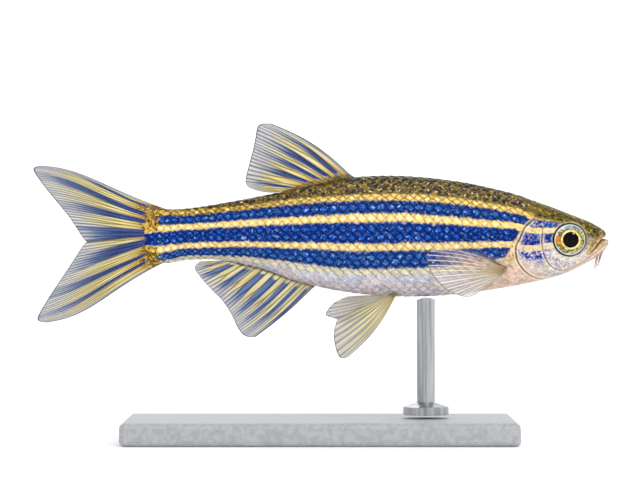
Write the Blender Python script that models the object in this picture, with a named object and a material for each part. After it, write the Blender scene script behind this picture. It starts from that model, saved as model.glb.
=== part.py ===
"""A life-size zebra danio on a small display stand, built in metres with +Z up.

The fish faces +X with its right side towards -Y. The origin lies under the middle of its length,
on the surface that the stand rests on.
"""

import math

import bmesh
import bpy
from mathutils import Matrix, Vector

# Sizes are in millimetres, and heights are measured from the body's axis.
MM = 0.001
AXIS_HEIGHT = 17.5
GAP = 0.3

# Body profile: place along the length, back, belly and half width.
SNOUT_TIP = 25.0
SNOUT_LEVEL = -0.12
SNOUT_ROUNDING = 0.85
STATIONS = (
    (-14.95, 2.66, -2.12, 0.42),
    (-13.2, 2.72, -1.95, 0.72),
    (-11.4, 2.78, -1.66, 0.92),
    (-8.6, 3.20, -1.72, 1.20),
    (-5.2, 3.83, -2.45, 1.60),
    (-1.7, 4.55, -3.62, 2.05),
    (2.6, 5.42, -4.52, 2.45),
    (7.0, 5.58, -4.92, 2.62),
    (12.2, 5.06, -4.71, 2.66),
    (16.6, 4.10, -3.98, 2.55),
    (19.6, 3.10, -3.30, 2.34),
    (22.2, 2.10, -2.44, 1.95),
    (23.5, 1.58, -1.84, 1.48),
    (24.4, 1.12, -1.38, 1.12),
    (25.0, 1.02, -1.20, 0.98),
)
WIDEST_LEVEL = 0.52
SECTION_POWER = 2.15

# Where the head, trunk and tail are parted.
HEAD_RINGS, HEAD_SIDES = 22, 40
TRUNK_RINGS, TAIL_RINGS, BODY_SIDES = 24, 17, 34
GILL_OPENING = (
    (0.0, 19.0),
    (50.0, 18.85),
    (72.0, 17.95),
    (100.0, 17.0),
    (120.0, 17.05),
    (140.0, 17.8),
    (162.0, 19.15),
    (180.0, 19.6),
)
VENT_MIDDLE, VENT_SLANT = -1.65, 1.45
TAIL_END = -14.9

# Gill covers: angles run from the back (0) down the flank to the throat (180).
GILL_TOP, GILL_BOTTOM = 60.0, 163.0
GILL_FRONT = ((60.0, 19.2), (90.0, 19.3), (112.0, 19.5), (130.0, 20.1), (146.0, 20.9), (163.0, 21.2))
GILL_ROWS, GILL_COLUMNS = 12, 6
GILL_PROUD, GILL_THICKNESS = 0.12, 0.52

# Eyes, nostrils and mouth.
EYE_CENTRE = (21.78, 1.42, 0.05)
EYE_RADIUS, EYE_DEPTH = 1.38, 0.80
EYE_TURN = 13.0
NOSTRIL = (23.85, 0.80)
NOSTRIL_RADIUS, NOSTRIL_DEPTH = 0.15, 0.35
MOUTH_LINE = ((25.9, 0.45), (24.95, 0.04), (24.3, -0.40), (23.5, -1.06), (22.7, -1.62), (22.1, -2.9))
MOUTH_CORNER = 23.65
LIP_RADIUS, LIP_SPACING = 0.17, 0.30
JAW_REACH = 5.0

# Barbels: place, angle from the back, lean backwards and length.
BARBELS = {
    "barbel_front": (24.36, 155.0, 0.30, 1.0),
    "barbel_rear": (23.86, 146.0, 0.20, 1.15),
}
BARBEL_RADIUS, BARBEL_TIP = 0.22, 0.06

# Fins: each ray is its root's place, its tip, and how far it bows to its upper side.
FIN_ROOT, FIN_EDGE, RAY_RIDGE = 0.25, 0.17, 0.08
DORSAL_RAYS = (
    (2.60, -4.38, 10.14, 0.52),
    (1.75, -5.24, 9.87, 0.36),
    (0.70, -5.50, 8.80, 0.15),
    (-0.15, -5.72, 7.80, 0.08),
    (-1.10, -6.05, 6.65, 0.03),
    (-2.10, -6.42, 5.35, 0.0),
    (-2.75, -5.95, 4.52, 0.0),
)
ANAL_RAYS = (
    (-0.70, -5.72, -8.42, -0.10),
    (-1.60, -6.52, -8.22, -0.12),
    (-2.40, -7.05, -7.50, -0.15),
    (-3.30, -7.35, -6.80, -0.08),
    (-4.40, -7.75, -6.00, -0.03),
    (-5.50, -8.45, -5.00, 0.0),
    (-6.70, -9.35, -4.10, 0.0),
    (-7.60, -10.25, -3.10, 0.0),
    (-8.30, -10.72, -2.38, 0.0),
    (-8.60, -10.30, -1.98, 0.0),
)
CAUDAL_ROOT = -15.22
CAUDAL_UPPER_RAYS = (
    (-13.9, 3.03, -24.55, 6.46, 0.45),
    (-15.1, 2.90, -24.97, 6.12, 0.40),
    (CAUDAL_ROOT, 2.30, -24.30, 5.04, 0.28),
    (CAUDAL_ROOT, 1.70, -23.10, 3.52, 0.12),
    (CAUDAL_ROOT, 1.05, -21.75, 1.86, 0.03),
    (CAUDAL_ROOT, 0.42, -20.50, 0.02, 0.0),
)
CAUDAL_LOWER_RAYS = (
    (CAUDAL_ROOT, 0.12, -20.50, -0.32, 0.0),
    (CAUDAL_ROOT, -0.45, -21.70, -2.10, -0.05),
    (CAUDAL_ROOT, -0.95, -22.90, -3.90, -0.10),
    (CAUDAL_ROOT, -1.40, -23.90, -5.45, -0.18),
    (CAUDAL_ROOT, -1.90, -24.62, -6.75, -0.30),
    (-14.0, -2.38, -24.05, -7.12, -0.40),
)
CAUDAL_SWEEP = 0.7
PECTORAL_RAYS = (
    (16.20, -2.40, 9.90, -0.58, 0.38),
    (16.10, -2.55, 9.14, -1.15, 0.30),
    (15.98, -2.68, 9.22, -2.10, 0.15),
    (15.86, -2.80, 9.75, -3.15, 0.05),
    (15.74, -2.92, 10.90, -4.28, 0.0),
    (15.62, -3.04, 12.40, -4.86, 0.0),
    (15.50, -3.16, 13.30, -4.70, 0.0),
)
PECTORAL_SPREAD = 2.9
PELVIC_ANGLE = 158.0
PELVIC_RIGHT_RAYS = (
    (6.55, 2.30, -10.13, -0.34),
    (6.42, 1.68, -10.02, -0.26),
    (6.25, 1.36, -8.95, -0.15),
    (6.08, 1.32, -7.85, -0.05),
    (5.90, 1.50, -6.75, 0.0),
)
PELVIC_LEFT_RAYS = (
    (6.55, 0.86, -6.80, -0.24),
    (6.42, 0.42, -6.58, -0.16),
    (6.25, 0.74, -6.10, -0.06),
    (6.08, 1.36, -5.46, 0.0),
    (5.90, 2.40, -4.98, 0.05),
)
PELVIC_SPREAD = 1.9

# Display stand.
BASE_LENGTH, BASE_WIDTH, BASE_THICKNESS = 34.0, 18.0, 2.0
BASE_BEVEL = 0.45
ROD_PLACE, ROD_RADIUS = 9.2, 0.8
FOOT_RADIUS, FOOT_HEIGHT = 2.0, 0.7

COLOURS = {
    "skin": ((0.30, 0.32, 0.42), 0.35, 0.25),
    "gill_cover": ((0.55, 0.52, 0.60), 0.3, 0.3),
    "fin": ((0.62, 0.60, 0.45), 0.4, 0.0),
    "eye": ((0.02, 0.02, 0.02), 0.08, 0.0),
    "barbel": ((0.70, 0.60, 0.50), 0.5, 0.0),
    "stand_plate": ((0.86, 0.86, 0.84), 0.5, 0.0),
    "stand_steel": ((0.62, 0.62, 0.62), 0.3, 1.0),
}


def clear_scene():
    for old in list(bpy.data.objects):
        bpy.data.objects.remove(old)


def material(name):
    """The Principled material of that name, made once."""
    found = bpy.data.materials.get(name)
    if found:
        return found
    colour, roughness, metallic = COLOURS[name]
    made = bpy.data.materials.new(name)
    made.use_nodes = True
    shader = made.node_tree.nodes["Principled BSDF"]
    shader.inputs["Base Color"].default_value = (*colour, 1.0)
    shader.inputs["Roughness"].default_value = roughness
    shader.inputs["Metallic"].default_value = metallic
    return made


def add_object(name, points, faces, look, turn=60.0):
    """A named mesh object from points in millimetres, measured from the body's axis."""
    mesh = bpy.data.meshes.new(name)
    mesh.from_pydata([tuple(p) for p in points], [], faces)
    mesh.materials.append(material(look))
    tidy = bmesh.new()
    tidy.from_mesh(mesh)
    bmesh.ops.recalc_face_normals(tidy, faces=tidy.faces)
    if tidy.calc_volume(signed=True) < 0:
        bmesh.ops.reverse_faces(tidy, faces=tidy.faces)
    tidy.to_mesh(mesh)
    tidy.free()
    mesh.transform(Matrix.Translation((0, 0, AXIS_HEIGHT * MM)) @ Matrix.Scale(MM, 4))
    mesh.shade_smooth()
    mesh.set_sharp_from_angle(angle=math.radians(turn))
    made = bpy.data.objects.new(name, mesh)
    bpy.context.scene.collection.objects.link(made)
    return made


def smooth_value(points, place):
    """The value at a place on a smooth curve through (place, value) pairs in rising order."""
    places = [p[0] for p in points]
    place = min(max(place, places[0]), places[-1])
    i = min(max(sum(p <= place for p in places) - 1, 0), len(points) - 2)

    def slope(k):
        low, high = max(k - 1, 0), min(k + 1, len(points) - 1)
        return (points[high][1] - points[low][1]) / (points[high][0] - points[low][0])

    (x0, v0), (x1, v1) = points[i], points[i + 1]
    span = x1 - x0
    t = (place - x0) / span
    return (
        v0 * (1 + 2 * t) * (1 - t) ** 2
        + slope(i) * span * t * (1 - t) ** 2
        + v1 * t * t * (3 - 2 * t)
        + slope(i + 1) * span * t * t * (t - 1)
    )


def section(x):
    """The body's back, belly and half width at a place along its length."""
    back, belly, half = (smooth_value([(s[0], s[k]) for s in STATIONS], x) for k in (1, 2, 3))
    into = max(0.0, (x - SNOUT_TIP + SNOUT_ROUNDING) / SNOUT_ROUNDING)
    close = math.sqrt(max(0.0, 1 - into * into))
    level = SNOUT_LEVEL * min(1.0, into)
    return (back - level) * close + level, (belly - level) * close + level, half * close


def signed_power(value, power):
    return math.copysign(abs(value) ** power, value)


def skin_point(x, angle, side=1):
    """A point of the body's surface. The angle runs from the back (0) to the belly (180)."""
    back, belly, half = section(x)
    level = belly + WIDEST_LEVEL * (back - belly)
    across = signed_power(math.sin(math.radians(angle)), 2 / SECTION_POWER)
    up = signed_power(math.cos(math.radians(angle)), 2 / SECTION_POWER)
    height = up * (back - level if up > 0 else level - belly)
    return Vector((x, side * half * across, level + height))


def skin_normal(x, angle, side=1):
    """The outward direction at that point."""
    step_x, step_angle = 0.05, 1.0
    along = skin_point(x + step_x, angle, side) - skin_point(x - step_x, angle, side)
    around = skin_point(x, angle + step_angle, side) - skin_point(x, angle - step_angle, side)
    return (along.cross(around) * side).normalized()


def lifted(x, angle, lift, side=1):
    return skin_point(x, angle, side) + skin_normal(x, angle, side) * lift


def angle_at(x, z):
    """The angle of the flank's point at that height."""
    back, belly, _ = section(x)
    level = belly + WIDEST_LEVEL * (back - belly)
    reach = back - level if z > level else level - belly
    share = max(-1.0, min(1.0, (z - level) / reach))
    return math.degrees(math.acos(signed_power(share, SECTION_POWER / 2)))


def gill_opening(angle):
    """Where the head ends and the trunk begins, for an angle from 0 to 360."""
    return smooth_value(GILL_OPENING, 180 - abs(180 - angle))


def vent_line(angle):
    """Where the trunk ends and the tail begins."""
    return VENT_MIDDLE - VENT_SLANT * math.cos(math.radians(angle))


def ring_faces(rings, sides):
    """Quads between successive rings of a closed loft."""
    return [
        (i * sides + j, i * sides + (j + 1) % sides, (i + 1) * sides + (j + 1) % sides, (i + 1) * sides + j)
        for i in range(rings - 1)
        for j in range(sides)
    ]


def fan(ring, centre, sides):
    """Triangles from one ring to its centre point."""
    return [(ring * sides + j, ring * sides + (j + 1) % sides, centre) for j in range(sides)]


def body_length(name, rear, front, rings, sides, ease=lambda t: t):
    """A length of the body between two parting curves, closed at both ends."""
    points = []
    for i in range(rings + 1):
        share = ease(i / rings)
        for j in range(sides):
            angle = 360 * j / sides
            x = rear(angle) + (front(angle) - rear(angle)) * share
            points.append(skin_point(x, angle))
    first, last = points[:sides], points[-sides:]
    points += [sum(first, Vector()) / sides, sum(last, Vector()) / sides]
    faces = ring_faces(rings + 1, sides)
    faces += fan(0, len(points) - 2, sides) + fan(rings, len(points) - 1, sides)
    return add_object(name, points, faces, "skin")


def sheet_faces(rows, columns):
    """Triangles of a closed slab: two grids split alike, and the walls between them."""
    layer = rows * columns
    faces = []
    for i in range(rows - 1):
        for j in range(columns - 1):
            a = i * columns + j
            b, c, d = a + 1, a + columns + 1, a + columns
            faces += [(a, b, c), (a, c, d)]
            faces += [(layer + a, layer + c, layer + b), (layer + a, layer + d, layer + c)]
    rim = [j for j in range(columns)]
    rim += [i * columns + columns - 1 for i in range(1, rows)]
    rim += [(rows - 1) * columns + j for j in range(columns - 2, -1, -1)]
    rim += [i * columns for i in range(rows - 2, 0, -1)]
    for a, b in zip(rim, rim[1:] + rim[:1]):
        faces += [(a, layer + a, layer + b), (a, layer + b, b)]
    return faces


def gill_slab(name, side, outer, inner, margin, rear_reach):
    """A slab that follows the cheek, from the preopercle back to the gill opening."""
    rows, columns = GILL_ROWS + 1, GILL_COLUMNS + 1
    layers = []
    for lift in (outer, inner):
        for i in range(rows):
            share = i / GILL_ROWS
            low, high = GILL_TOP - margin * 8, GILL_BOTTOM + margin * 8
            angle = low + (high - low) * share
            rear = gill_opening(angle) + rear_reach
            front = smooth_value(GILL_FRONT, angle) + margin
            for j in range(columns):
                x = rear + (front - rear) * j / GILL_COLUMNS
                layers.append(lifted(x, angle, lift, side))
    return add_object(name, layers, sheet_faces(rows, columns), "gill_cover")


def apply_boolean(target, operation, others):
    """Joins closed meshes to the target or cuts them from it, and removes them."""
    group = bpy.data.collections.new("operands")
    for other in others:
        group.objects.link(other)
    change = target.modifiers.new(operation.lower(), "BOOLEAN")
    change.operation = operation
    change.operand_type = "COLLECTION"
    change.collection = group
    change.solver = "EXACT"
    bpy.context.view_layer.update()
    graph = bpy.context.evaluated_depsgraph_get()
    result = bpy.data.meshes.new_from_object(target.evaluated_get(graph))
    target.modifiers.clear()
    target.data = result
    for other in others:
        bpy.data.objects.remove(other)
    bpy.data.collections.remove(group)
    keep_largest(target)


def keep_largest(target):
    """Drops all but the closed surface with the most points."""
    mesh = bmesh.new()
    mesh.from_mesh(target.data)
    unseen, islands = set(mesh.verts), []
    while unseen:
        island, edge = set(), [unseen.pop()]
        while edge:
            vert = edge.pop()
            island.add(vert)
            near = {e.other_vert(vert) for e in vert.link_edges} & unseen
            unseen -= near
            edge.extend(near)
        islands.append(island)
    keep = max(islands, key=len)
    bmesh.ops.delete(mesh, geom=[v for v in mesh.verts if v not in keep], context="VERTS")
    mesh.to_mesh(target.data)
    mesh.free()


def ball(name, centre, radii, turn, look, segments=22, rings=10):
    """A squashed ball turned about the upright axis."""
    points = [Vector((0, 0, 1))]
    for i in range(1, rings):
        polar = math.pi * i / rings
        for j in range(segments):
            around = 2 * math.pi * j / segments
            points.append(
                Vector((math.sin(polar) * math.cos(around), math.sin(polar) * math.sin(around), math.cos(polar)))
            )
    points.append(Vector((0, 0, -1)))
    faces = [(0, 1 + j, 1 + (j + 1) % segments) for j in range(segments)]
    faces += [tuple(k + 1 for k in quad) for quad in ring_faces(rings - 1, segments)]
    last, ring = len(points) - 1, 1 + (rings - 2) * segments
    faces += [(ring + j, last, ring + (j + 1) % segments) for j in range(segments)]
    spin = Matrix.Rotation(math.radians(turn), 3, "Z")
    shaped = [spin @ Vector((p.x * radii[0], p.z * radii[1], p.y * radii[2])) for p in points]
    return add_object(name, [p + Vector(centre) for p in shaped], faces, look)


def eye(name, side, swell=0.0):
    """An eyeball, or with swell the socket round it. Its flat side faces out and a little forward."""
    x, y, z = EYE_CENTRE
    radii = (EYE_RADIUS + swell, EYE_DEPTH + swell, EYE_RADIUS + swell)
    return ball(name, (x, side * y, z), radii, -side * EYE_TURN, "eye")


def tube(name, path, radii, sides, look):
    """A closed tube through the path's points, with a radius at each."""
    points = []
    across = (path[1] - path[0]).orthogonal()
    for i, (place, radius) in enumerate(zip(path, radii)):
        ahead = (path[min(i + 1, len(path) - 1)] - path[max(i - 1, 0)]).normalized()
        across = (across - ahead * across.dot(ahead)).normalized()
        up = across.cross(ahead)
        for j in range(sides):
            turn = 2 * math.pi * j / sides
            points.append(place + (across * math.cos(turn) + up * math.sin(turn)) * radius)
    points += [path[0], path[-1]]
    faces = ring_faces(len(path), sides)
    faces += fan(0, len(points) - 2, sides) + fan(len(path) - 1, len(points) - 1, sides)
    return add_object(name, points, faces, look)


def lip(name, shift):
    """A fold of skin round the front of one jaw, from corner to corner of the mouth."""
    steps, path, radii = 18, [], []
    for i in range(steps + 1):
        turn = math.pi * (i / steps - 0.5)
        x = MOUTH_CORNER + (SNOUT_TIP - 0.12 - MOUTH_CORNER) * math.cos(turn)
        z = smooth_value(tuple(reversed(MOUTH_LINE)), x) + shift
        side = 1 if turn > 0 else -1
        path.append(lifted(x, angle_at(x, z), -0.06, side))
        radii.append(LIP_RADIUS * (0.45 + 0.55 * math.cos(turn)))
    path[steps // 2].y = 0.0
    return tube(name, path, radii, 8, "skin")


def shifted_line(line, distance):
    """The line moved sideways, each point along the mean of its two normals."""
    moved = []
    for i, (x, z) in enumerate(line):
        ax, az = line[max(i - 1, 0)]
        bx, bz = line[min(i + 1, len(line) - 1)]
        length = math.hypot(bx - ax, bz - az)
        moved.append((x - (bz - az) / length * distance, z + (bx - ax) / length * distance))
    return moved


def jaw_prism(name, distance):
    """The space below and in front of the mouth line, across the whole head."""
    outline = shifted_line(MOUTH_LINE, distance)
    outline += [(outline[0][0], outline[-1][1])]
    count = len(outline)
    points = [(x, side * JAW_REACH, z) for side in (-1, 1) for x, z in outline]
    faces = [tuple(range(count)), tuple(range(2 * count - 1, count - 1, -1))]
    faces += [(i, (i + 1) % count, (i + 1) % count + count, i + count) for i in range(count)]
    return add_object(name, points, faces, "skin")


def nostril_cutter(side):
    x, z = NOSTRIL
    angle = angle_at(x, z)
    outer, inner = (lifted(x, angle, lift, side) for lift in (NOSTRIL_DEPTH, -NOSTRIL_DEPTH))
    return tube(f"nostril_{side}", [inner, outer], [NOSTRIL_RADIUS] * 2, 10, "skin")


def head_and_jaw():
    """The head with its sockets, nostrils and gill recesses, and the lower jaw parted from it."""
    head = body_length(
        "head",
        lambda angle: gill_opening(angle) + GAP / 2,
        lambda angle: SNOUT_TIP - 0.004,
        HEAD_RINGS,
        HEAD_SIDES,
        ease=lambda t: math.sin(math.pi / 2 * t),
    )
    apply_boolean(head, "UNION", [lip("upper_lip", LIP_SPACING), lip("lower_lip", -LIP_SPACING)])
    jaw = bpy.data.objects.new("lower_jaw", head.data.copy())
    bpy.context.scene.collection.objects.link(jaw)
    beyond = add_object("beyond_jaw", *box_around_jaw(), "skin")
    apply_boolean(jaw, "DIFFERENCE", [beyond])
    cutters = [jaw_prism("mouth", -GAP / 2)]
    for side in (-1, 1):
        cutters += [eye(f"socket_{side}", side, GAP), nostril_cutter(side)]
        pocket_floor = GILL_PROUD - GILL_THICKNESS - GAP
        cutters.append(gill_slab(f"pocket_{side}", side, 0.9, pocket_floor, GAP, -1.0))
    for cutter in cutters:
        apply_boolean(head, "DIFFERENCE", [cutter])


def box_around_jaw():
    """Points and faces of all the space that isn't the lower jaw's."""
    outline = shifted_line(MOUTH_LINE, GAP / 2)
    far = [(outline[-1][0], -9.0), (10.0, -9.0), (10.0, 9.0), (30.0, 9.0), (30.0, outline[0][1])]
    outline = outline + far
    count = len(outline)
    points = [(x, side * (JAW_REACH + 1), z) for side in (-1, 1) for x, z in outline]
    faces = [tuple(range(count)), tuple(range(2 * count - 1, count - 1, -1))]
    faces += [(i, (i + 1) % count, (i + 1) % count + count, i + count) for i in range(count)]
    return points, faces


def gill_cover(name, side):
    gill_slab(name, side, GILL_PROUD, GILL_PROUD - GILL_THICKNESS, 0.0, GAP / 2)


def barbel(name, kind, side):
    """A tapered feeler that hangs from the chin and curves back."""
    place, angle, lean, length = BARBELS[kind]
    root = lifted(place, angle, GAP, side)
    down = skin_normal(place, angle, side)
    steps, path, radii = 7, [], []
    for i in range(steps + 1):
        t = i / steps
        drop = Vector((-lean * t, side * 0.12 * t, -1.0)).normalized()
        heading = down.lerp(drop, min(1.0, 3 * t))
        path.append(root + heading * length * t)
        radii.append(BARBEL_RADIUS + (BARBEL_TIP - BARBEL_RADIUS) * t ** 0.8)
    tube(name, path, radii, 8, "barbel")


def fin(name, rays, count, rows, skew, shape):
    """A membrane with a ridge along each ray. shape(root, tip, share) sets a point's place across."""
    columns = 2 * count - 1
    size = len(rays[0])
    grid = []
    for i in range(rows + 1):
        t = i / rows
        line = []
        for j in range(columns):
            u = j / (columns - 1) * (len(rays) - 1)
            x0, z0, x1, z1, bow = (
                smooth_value([(k, ray[c]) for k, ray in enumerate(rays)], u) for c in range(size)
            )
            dx, dz = x1 - x0, z1 - z0
            reach = bow * math.sin(math.pi * t**skew) / math.hypot(dx, dz)
            line.append(shape(x0 + dx * t + dz * reach, z0 + dz * t - dx * reach, x0, t, u / (len(rays) - 1)))
        grid.append(line)
    normals = [[grid_normal(grid, i, j) for j in range(columns)] for i in range(rows + 1)]
    points = []
    for side in (1, -1):
        for i in range(rows + 1):
            t = i / rows
            for j in range(columns):
                ridge = RAY_RIDGE * (1 - 0.6 * t) if j % 2 == 0 else 0.0
                half = FIN_ROOT + (FIN_EDGE - FIN_ROOT) * t + ridge
                points.append(grid[i][j] + normals[i][j] * side * half)
    add_object(name, points, sheet_faces(rows + 1, columns), "fin", turn=30.0)


def grid_normal(grid, i, j):
    """The normal of a grid of points, from the neighbours of one of them."""
    rows, columns = len(grid) - 1, len(grid[0]) - 1
    along = grid[min(i + 1, rows)][j] - grid[max(i - 1, 0)][j]
    across = grid[i][min(j + 1, columns)] - grid[i][max(j - 1, 0)]
    return along.cross(across).normalized()


def upright(x, z, root, t, u):
    """A fin that stands in the body's middle plane."""
    return Vector((x, 0.0, z))


def swept(x, z, root, t, u):
    """The tail fin, which bends a little to the fish's left."""
    return Vector((x, CAUDAL_SWEEP * t * t, z))


def dorsal_fin():
    rays = [(x, section(x)[0] + GAP, *rest) for x, *rest in DORSAL_RAYS]
    fin("dorsal_fin", rays, 9, 9, 1.0, upright)


def anal_fin():
    rays = [(x, section(x)[1] - GAP, *rest) for x, *rest in ANAL_RAYS]
    fin("anal_fin", rays, 15, 7, 1.0, upright)


def caudal_fin():
    fin("caudal_fin_upper", CAUDAL_UPPER_RAYS, 10, 11, 1.9, swept)
    fin("caudal_fin_lower", CAUDAL_LOWER_RAYS, 10, 11, 1.9, swept)


def pectoral_fin(name, side):
    """A fan that leaves the flank squarely and sweeps back beside it."""
    def shape(x, z, root, t, u):
        start = lifted(root, angle_at(root, -2.4 - 0.76 * u), GAP + 0.2, side)
        low = 0.85 + 0.15 * math.cos(math.pi * (u - 0.3))
        return Vector((x, start.y + side * PECTORAL_SPREAD * low * t**0.62, z))

    fin(name, PECTORAL_RAYS, 12, 8, 1.0, shape)


def pelvic_fin(name, side, table):
    """A fan under the belly that splays outwards."""
    rays = [(x, skin_point(x, PELVIC_ANGLE).z - GAP, *rest) for x, *rest in table]

    def shape(x, z, root, t, u):
        start = skin_point(root, PELVIC_ANGLE, side).y
        return Vector((x, start + side * PELVIC_SPREAD * t * (1 - 0.35 * u), z))

    fin(name, rays, 8, 7, 1.0, shape)


def stand():
    """A flat plate and one short rod up to the belly."""
    corners = [(sx * BASE_LENGTH / 2, sy * BASE_WIDTH / 2) for sx, sy in ((-1, -1), (1, -1), (1, 1), (-1, 1))]
    heights = (-AXIS_HEIGHT, BASE_THICKNESS - AXIS_HEIGHT)
    points = [(x, y, z) for z in heights for x, y in corners]
    faces = [(3, 2, 1, 0), (4, 5, 6, 7)] + [(i, (i + 1) % 4, (i + 1) % 4 + 4, i + 4) for i in range(4)]
    plate = add_object("stand_base", points, faces, "stand_plate")
    rounding = plate.modifiers.new("rounded edges", "BEVEL")
    rounding.width = BASE_BEVEL * MM
    rounding.segments = 3

    sides, foot = 20, BASE_THICKNESS - AXIS_HEIGHT + GAP
    profile = ((FOOT_RADIUS, foot), (FOOT_RADIUS, foot + FOOT_HEIGHT), (ROD_RADIUS, foot + FOOT_HEIGHT + 0.4))
    points = []
    for radius, z in profile:
        points += rod_ring(radius, sides, lambda x, y, z=z: z)
    for share in (1.0, 0.5):
        points += rod_ring(ROD_RADIUS * share, sides, belly_clearance)
    points += [(ROD_PLACE, 0, foot), (ROD_PLACE, 0, belly_clearance(ROD_PLACE, 0))]
    faces = ring_faces(5, sides) + fan(0, len(points) - 2, sides) + fan(4, len(points) - 1, sides)
    add_object("stand_rod", points, faces, "stand_steel")


def rod_ring(radius, sides, height):
    ring = []
    for j in range(sides):
        turn = 2 * math.pi * j / sides
        x, y = ROD_PLACE + radius * math.cos(turn), radius * math.sin(turn)
        ring.append((x, y, height(x, y)))
    return ring


def belly_clearance(x, y):
    """The height just below the belly at that place."""
    back, belly, half = section(x)
    level = belly + WIDEST_LEVEL * (back - belly)
    drop = (1 - (abs(y) / half) ** SECTION_POWER) ** (1 / SECTION_POWER)
    return level - (level - belly) * drop - GAP


def main():
    clear_scene()
    head_and_jaw()
    body_length(
        "trunk",
        lambda angle: vent_line(angle) + GAP / 2,
        lambda angle: gill_opening(angle) - GAP / 2,
        TRUNK_RINGS,
        BODY_SIDES,
    )
    body_length("tail", lambda angle: TAIL_END, lambda angle: vent_line(angle) - GAP / 2, TAIL_RINGS, BODY_SIDES)
    for side, word in ((1, "left"), (-1, "right")):
        gill_cover(f"gill_cover_{word}", side)
        eye(f"eye_{word}", side)
        for kind in BARBELS:
            barbel(f"{kind}_{word}", kind, side)
        pectoral_fin(f"pectoral_fin_{word}", side)
    pelvic_fin("pelvic_fin_right", -1, PELVIC_RIGHT_RAYS)
    pelvic_fin("pelvic_fin_left", 1, PELVIC_LEFT_RAYS)
    dorsal_fin()
    anal_fin()
    caudal_fin()
    stand()


main()
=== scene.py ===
"""The looks of a life-size zebra danio: skin, scales, eyes, fins and barbels over its solids.

Sizes are in millimetres, measured from the body's axis, until a mesh is made. The fish faces +X.
Angles run round the body from its back (0) down its left side to the belly (180) and on.
Colours are screen values, 0 to 255.
"""

import math
from types import SimpleNamespace

import bpy
import numpy as np
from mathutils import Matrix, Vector


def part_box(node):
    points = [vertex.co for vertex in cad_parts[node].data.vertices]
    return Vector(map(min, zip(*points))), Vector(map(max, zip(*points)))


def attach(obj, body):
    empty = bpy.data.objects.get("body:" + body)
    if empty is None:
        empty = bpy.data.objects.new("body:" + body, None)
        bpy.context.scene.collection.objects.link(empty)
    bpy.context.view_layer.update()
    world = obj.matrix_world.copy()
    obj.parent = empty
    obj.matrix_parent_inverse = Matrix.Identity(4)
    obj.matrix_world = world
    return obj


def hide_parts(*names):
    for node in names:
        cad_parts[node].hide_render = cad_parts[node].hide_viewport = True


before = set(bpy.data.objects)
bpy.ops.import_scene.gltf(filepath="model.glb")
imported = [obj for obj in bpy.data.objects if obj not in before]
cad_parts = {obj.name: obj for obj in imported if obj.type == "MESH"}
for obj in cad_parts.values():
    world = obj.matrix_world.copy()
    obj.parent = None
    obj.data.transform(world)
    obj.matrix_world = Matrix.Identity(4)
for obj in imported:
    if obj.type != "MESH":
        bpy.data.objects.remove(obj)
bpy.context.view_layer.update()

MM = 0.001
SEED = 7

# Camera: the width that the picture shows at the fish, and the lens.
PICTURE_WIDTH = 55.652
LENS, SENSOR = 200.0, 36.0
CAMERA_DISTANCE = LENS / SENSOR * PICTURE_WIDTH

# Body profile: place along the length, back, belly and half width.
SNOUT_TIP, SNOUT_LEVEL, SNOUT_ROUNDING = 25.0, -0.12, 0.85
STATIONS = (
    (-14.95, 2.66, -2.12, 0.42),
    (-13.2, 2.68, -2.03, 0.72),
    (-11.4, 2.78, -1.76, 0.92),
    (-8.6, 3.20, -1.77, 1.20),
    (-5.2, 3.83, -2.45, 1.60),
    (-1.7, 4.55, -3.69, 2.05),
    (2.6, 5.42, -4.57, 2.45),
    (7.0, 5.58, -4.92, 2.62),
    (12.2, 5.06, -4.71, 2.66),
    (16.6, 4.10, -4.11, 2.55),
    (19.6, 3.10, -3.43, 2.34),
    (22.2, 2.10, -2.47, 1.95),
    (23.5, 1.58, -1.84, 1.48),
    (24.4, 1.12, -1.38, 1.12),
    (25.0, 1.02, -1.20, 0.98),
)
WIDEST_LEVEL, SECTION_POWER = 0.52, 2.15
TAIL_TAPER_START, TAIL_END = -13.6, -15.4
MAP_PLACES, MAP_TURNS = 420, 181

# Skin: its depth in the solids, less on the bare head, and its rings: first place, last place and count.
SKIN_DEPTH, HEAD_RISE = 0.07, 0.6
SKIN_SIDES, TIP_RINGS = 320, 44
RING_STRETCHES = (
    (TAIL_END + 0.01, -13.6, 20),
    (-13.2, 12.0, 50),
    (12.2, 16.2, 36),
    (16.25, SNOUT_TIP - SNOUT_ROUNDING, 158),
)

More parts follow.
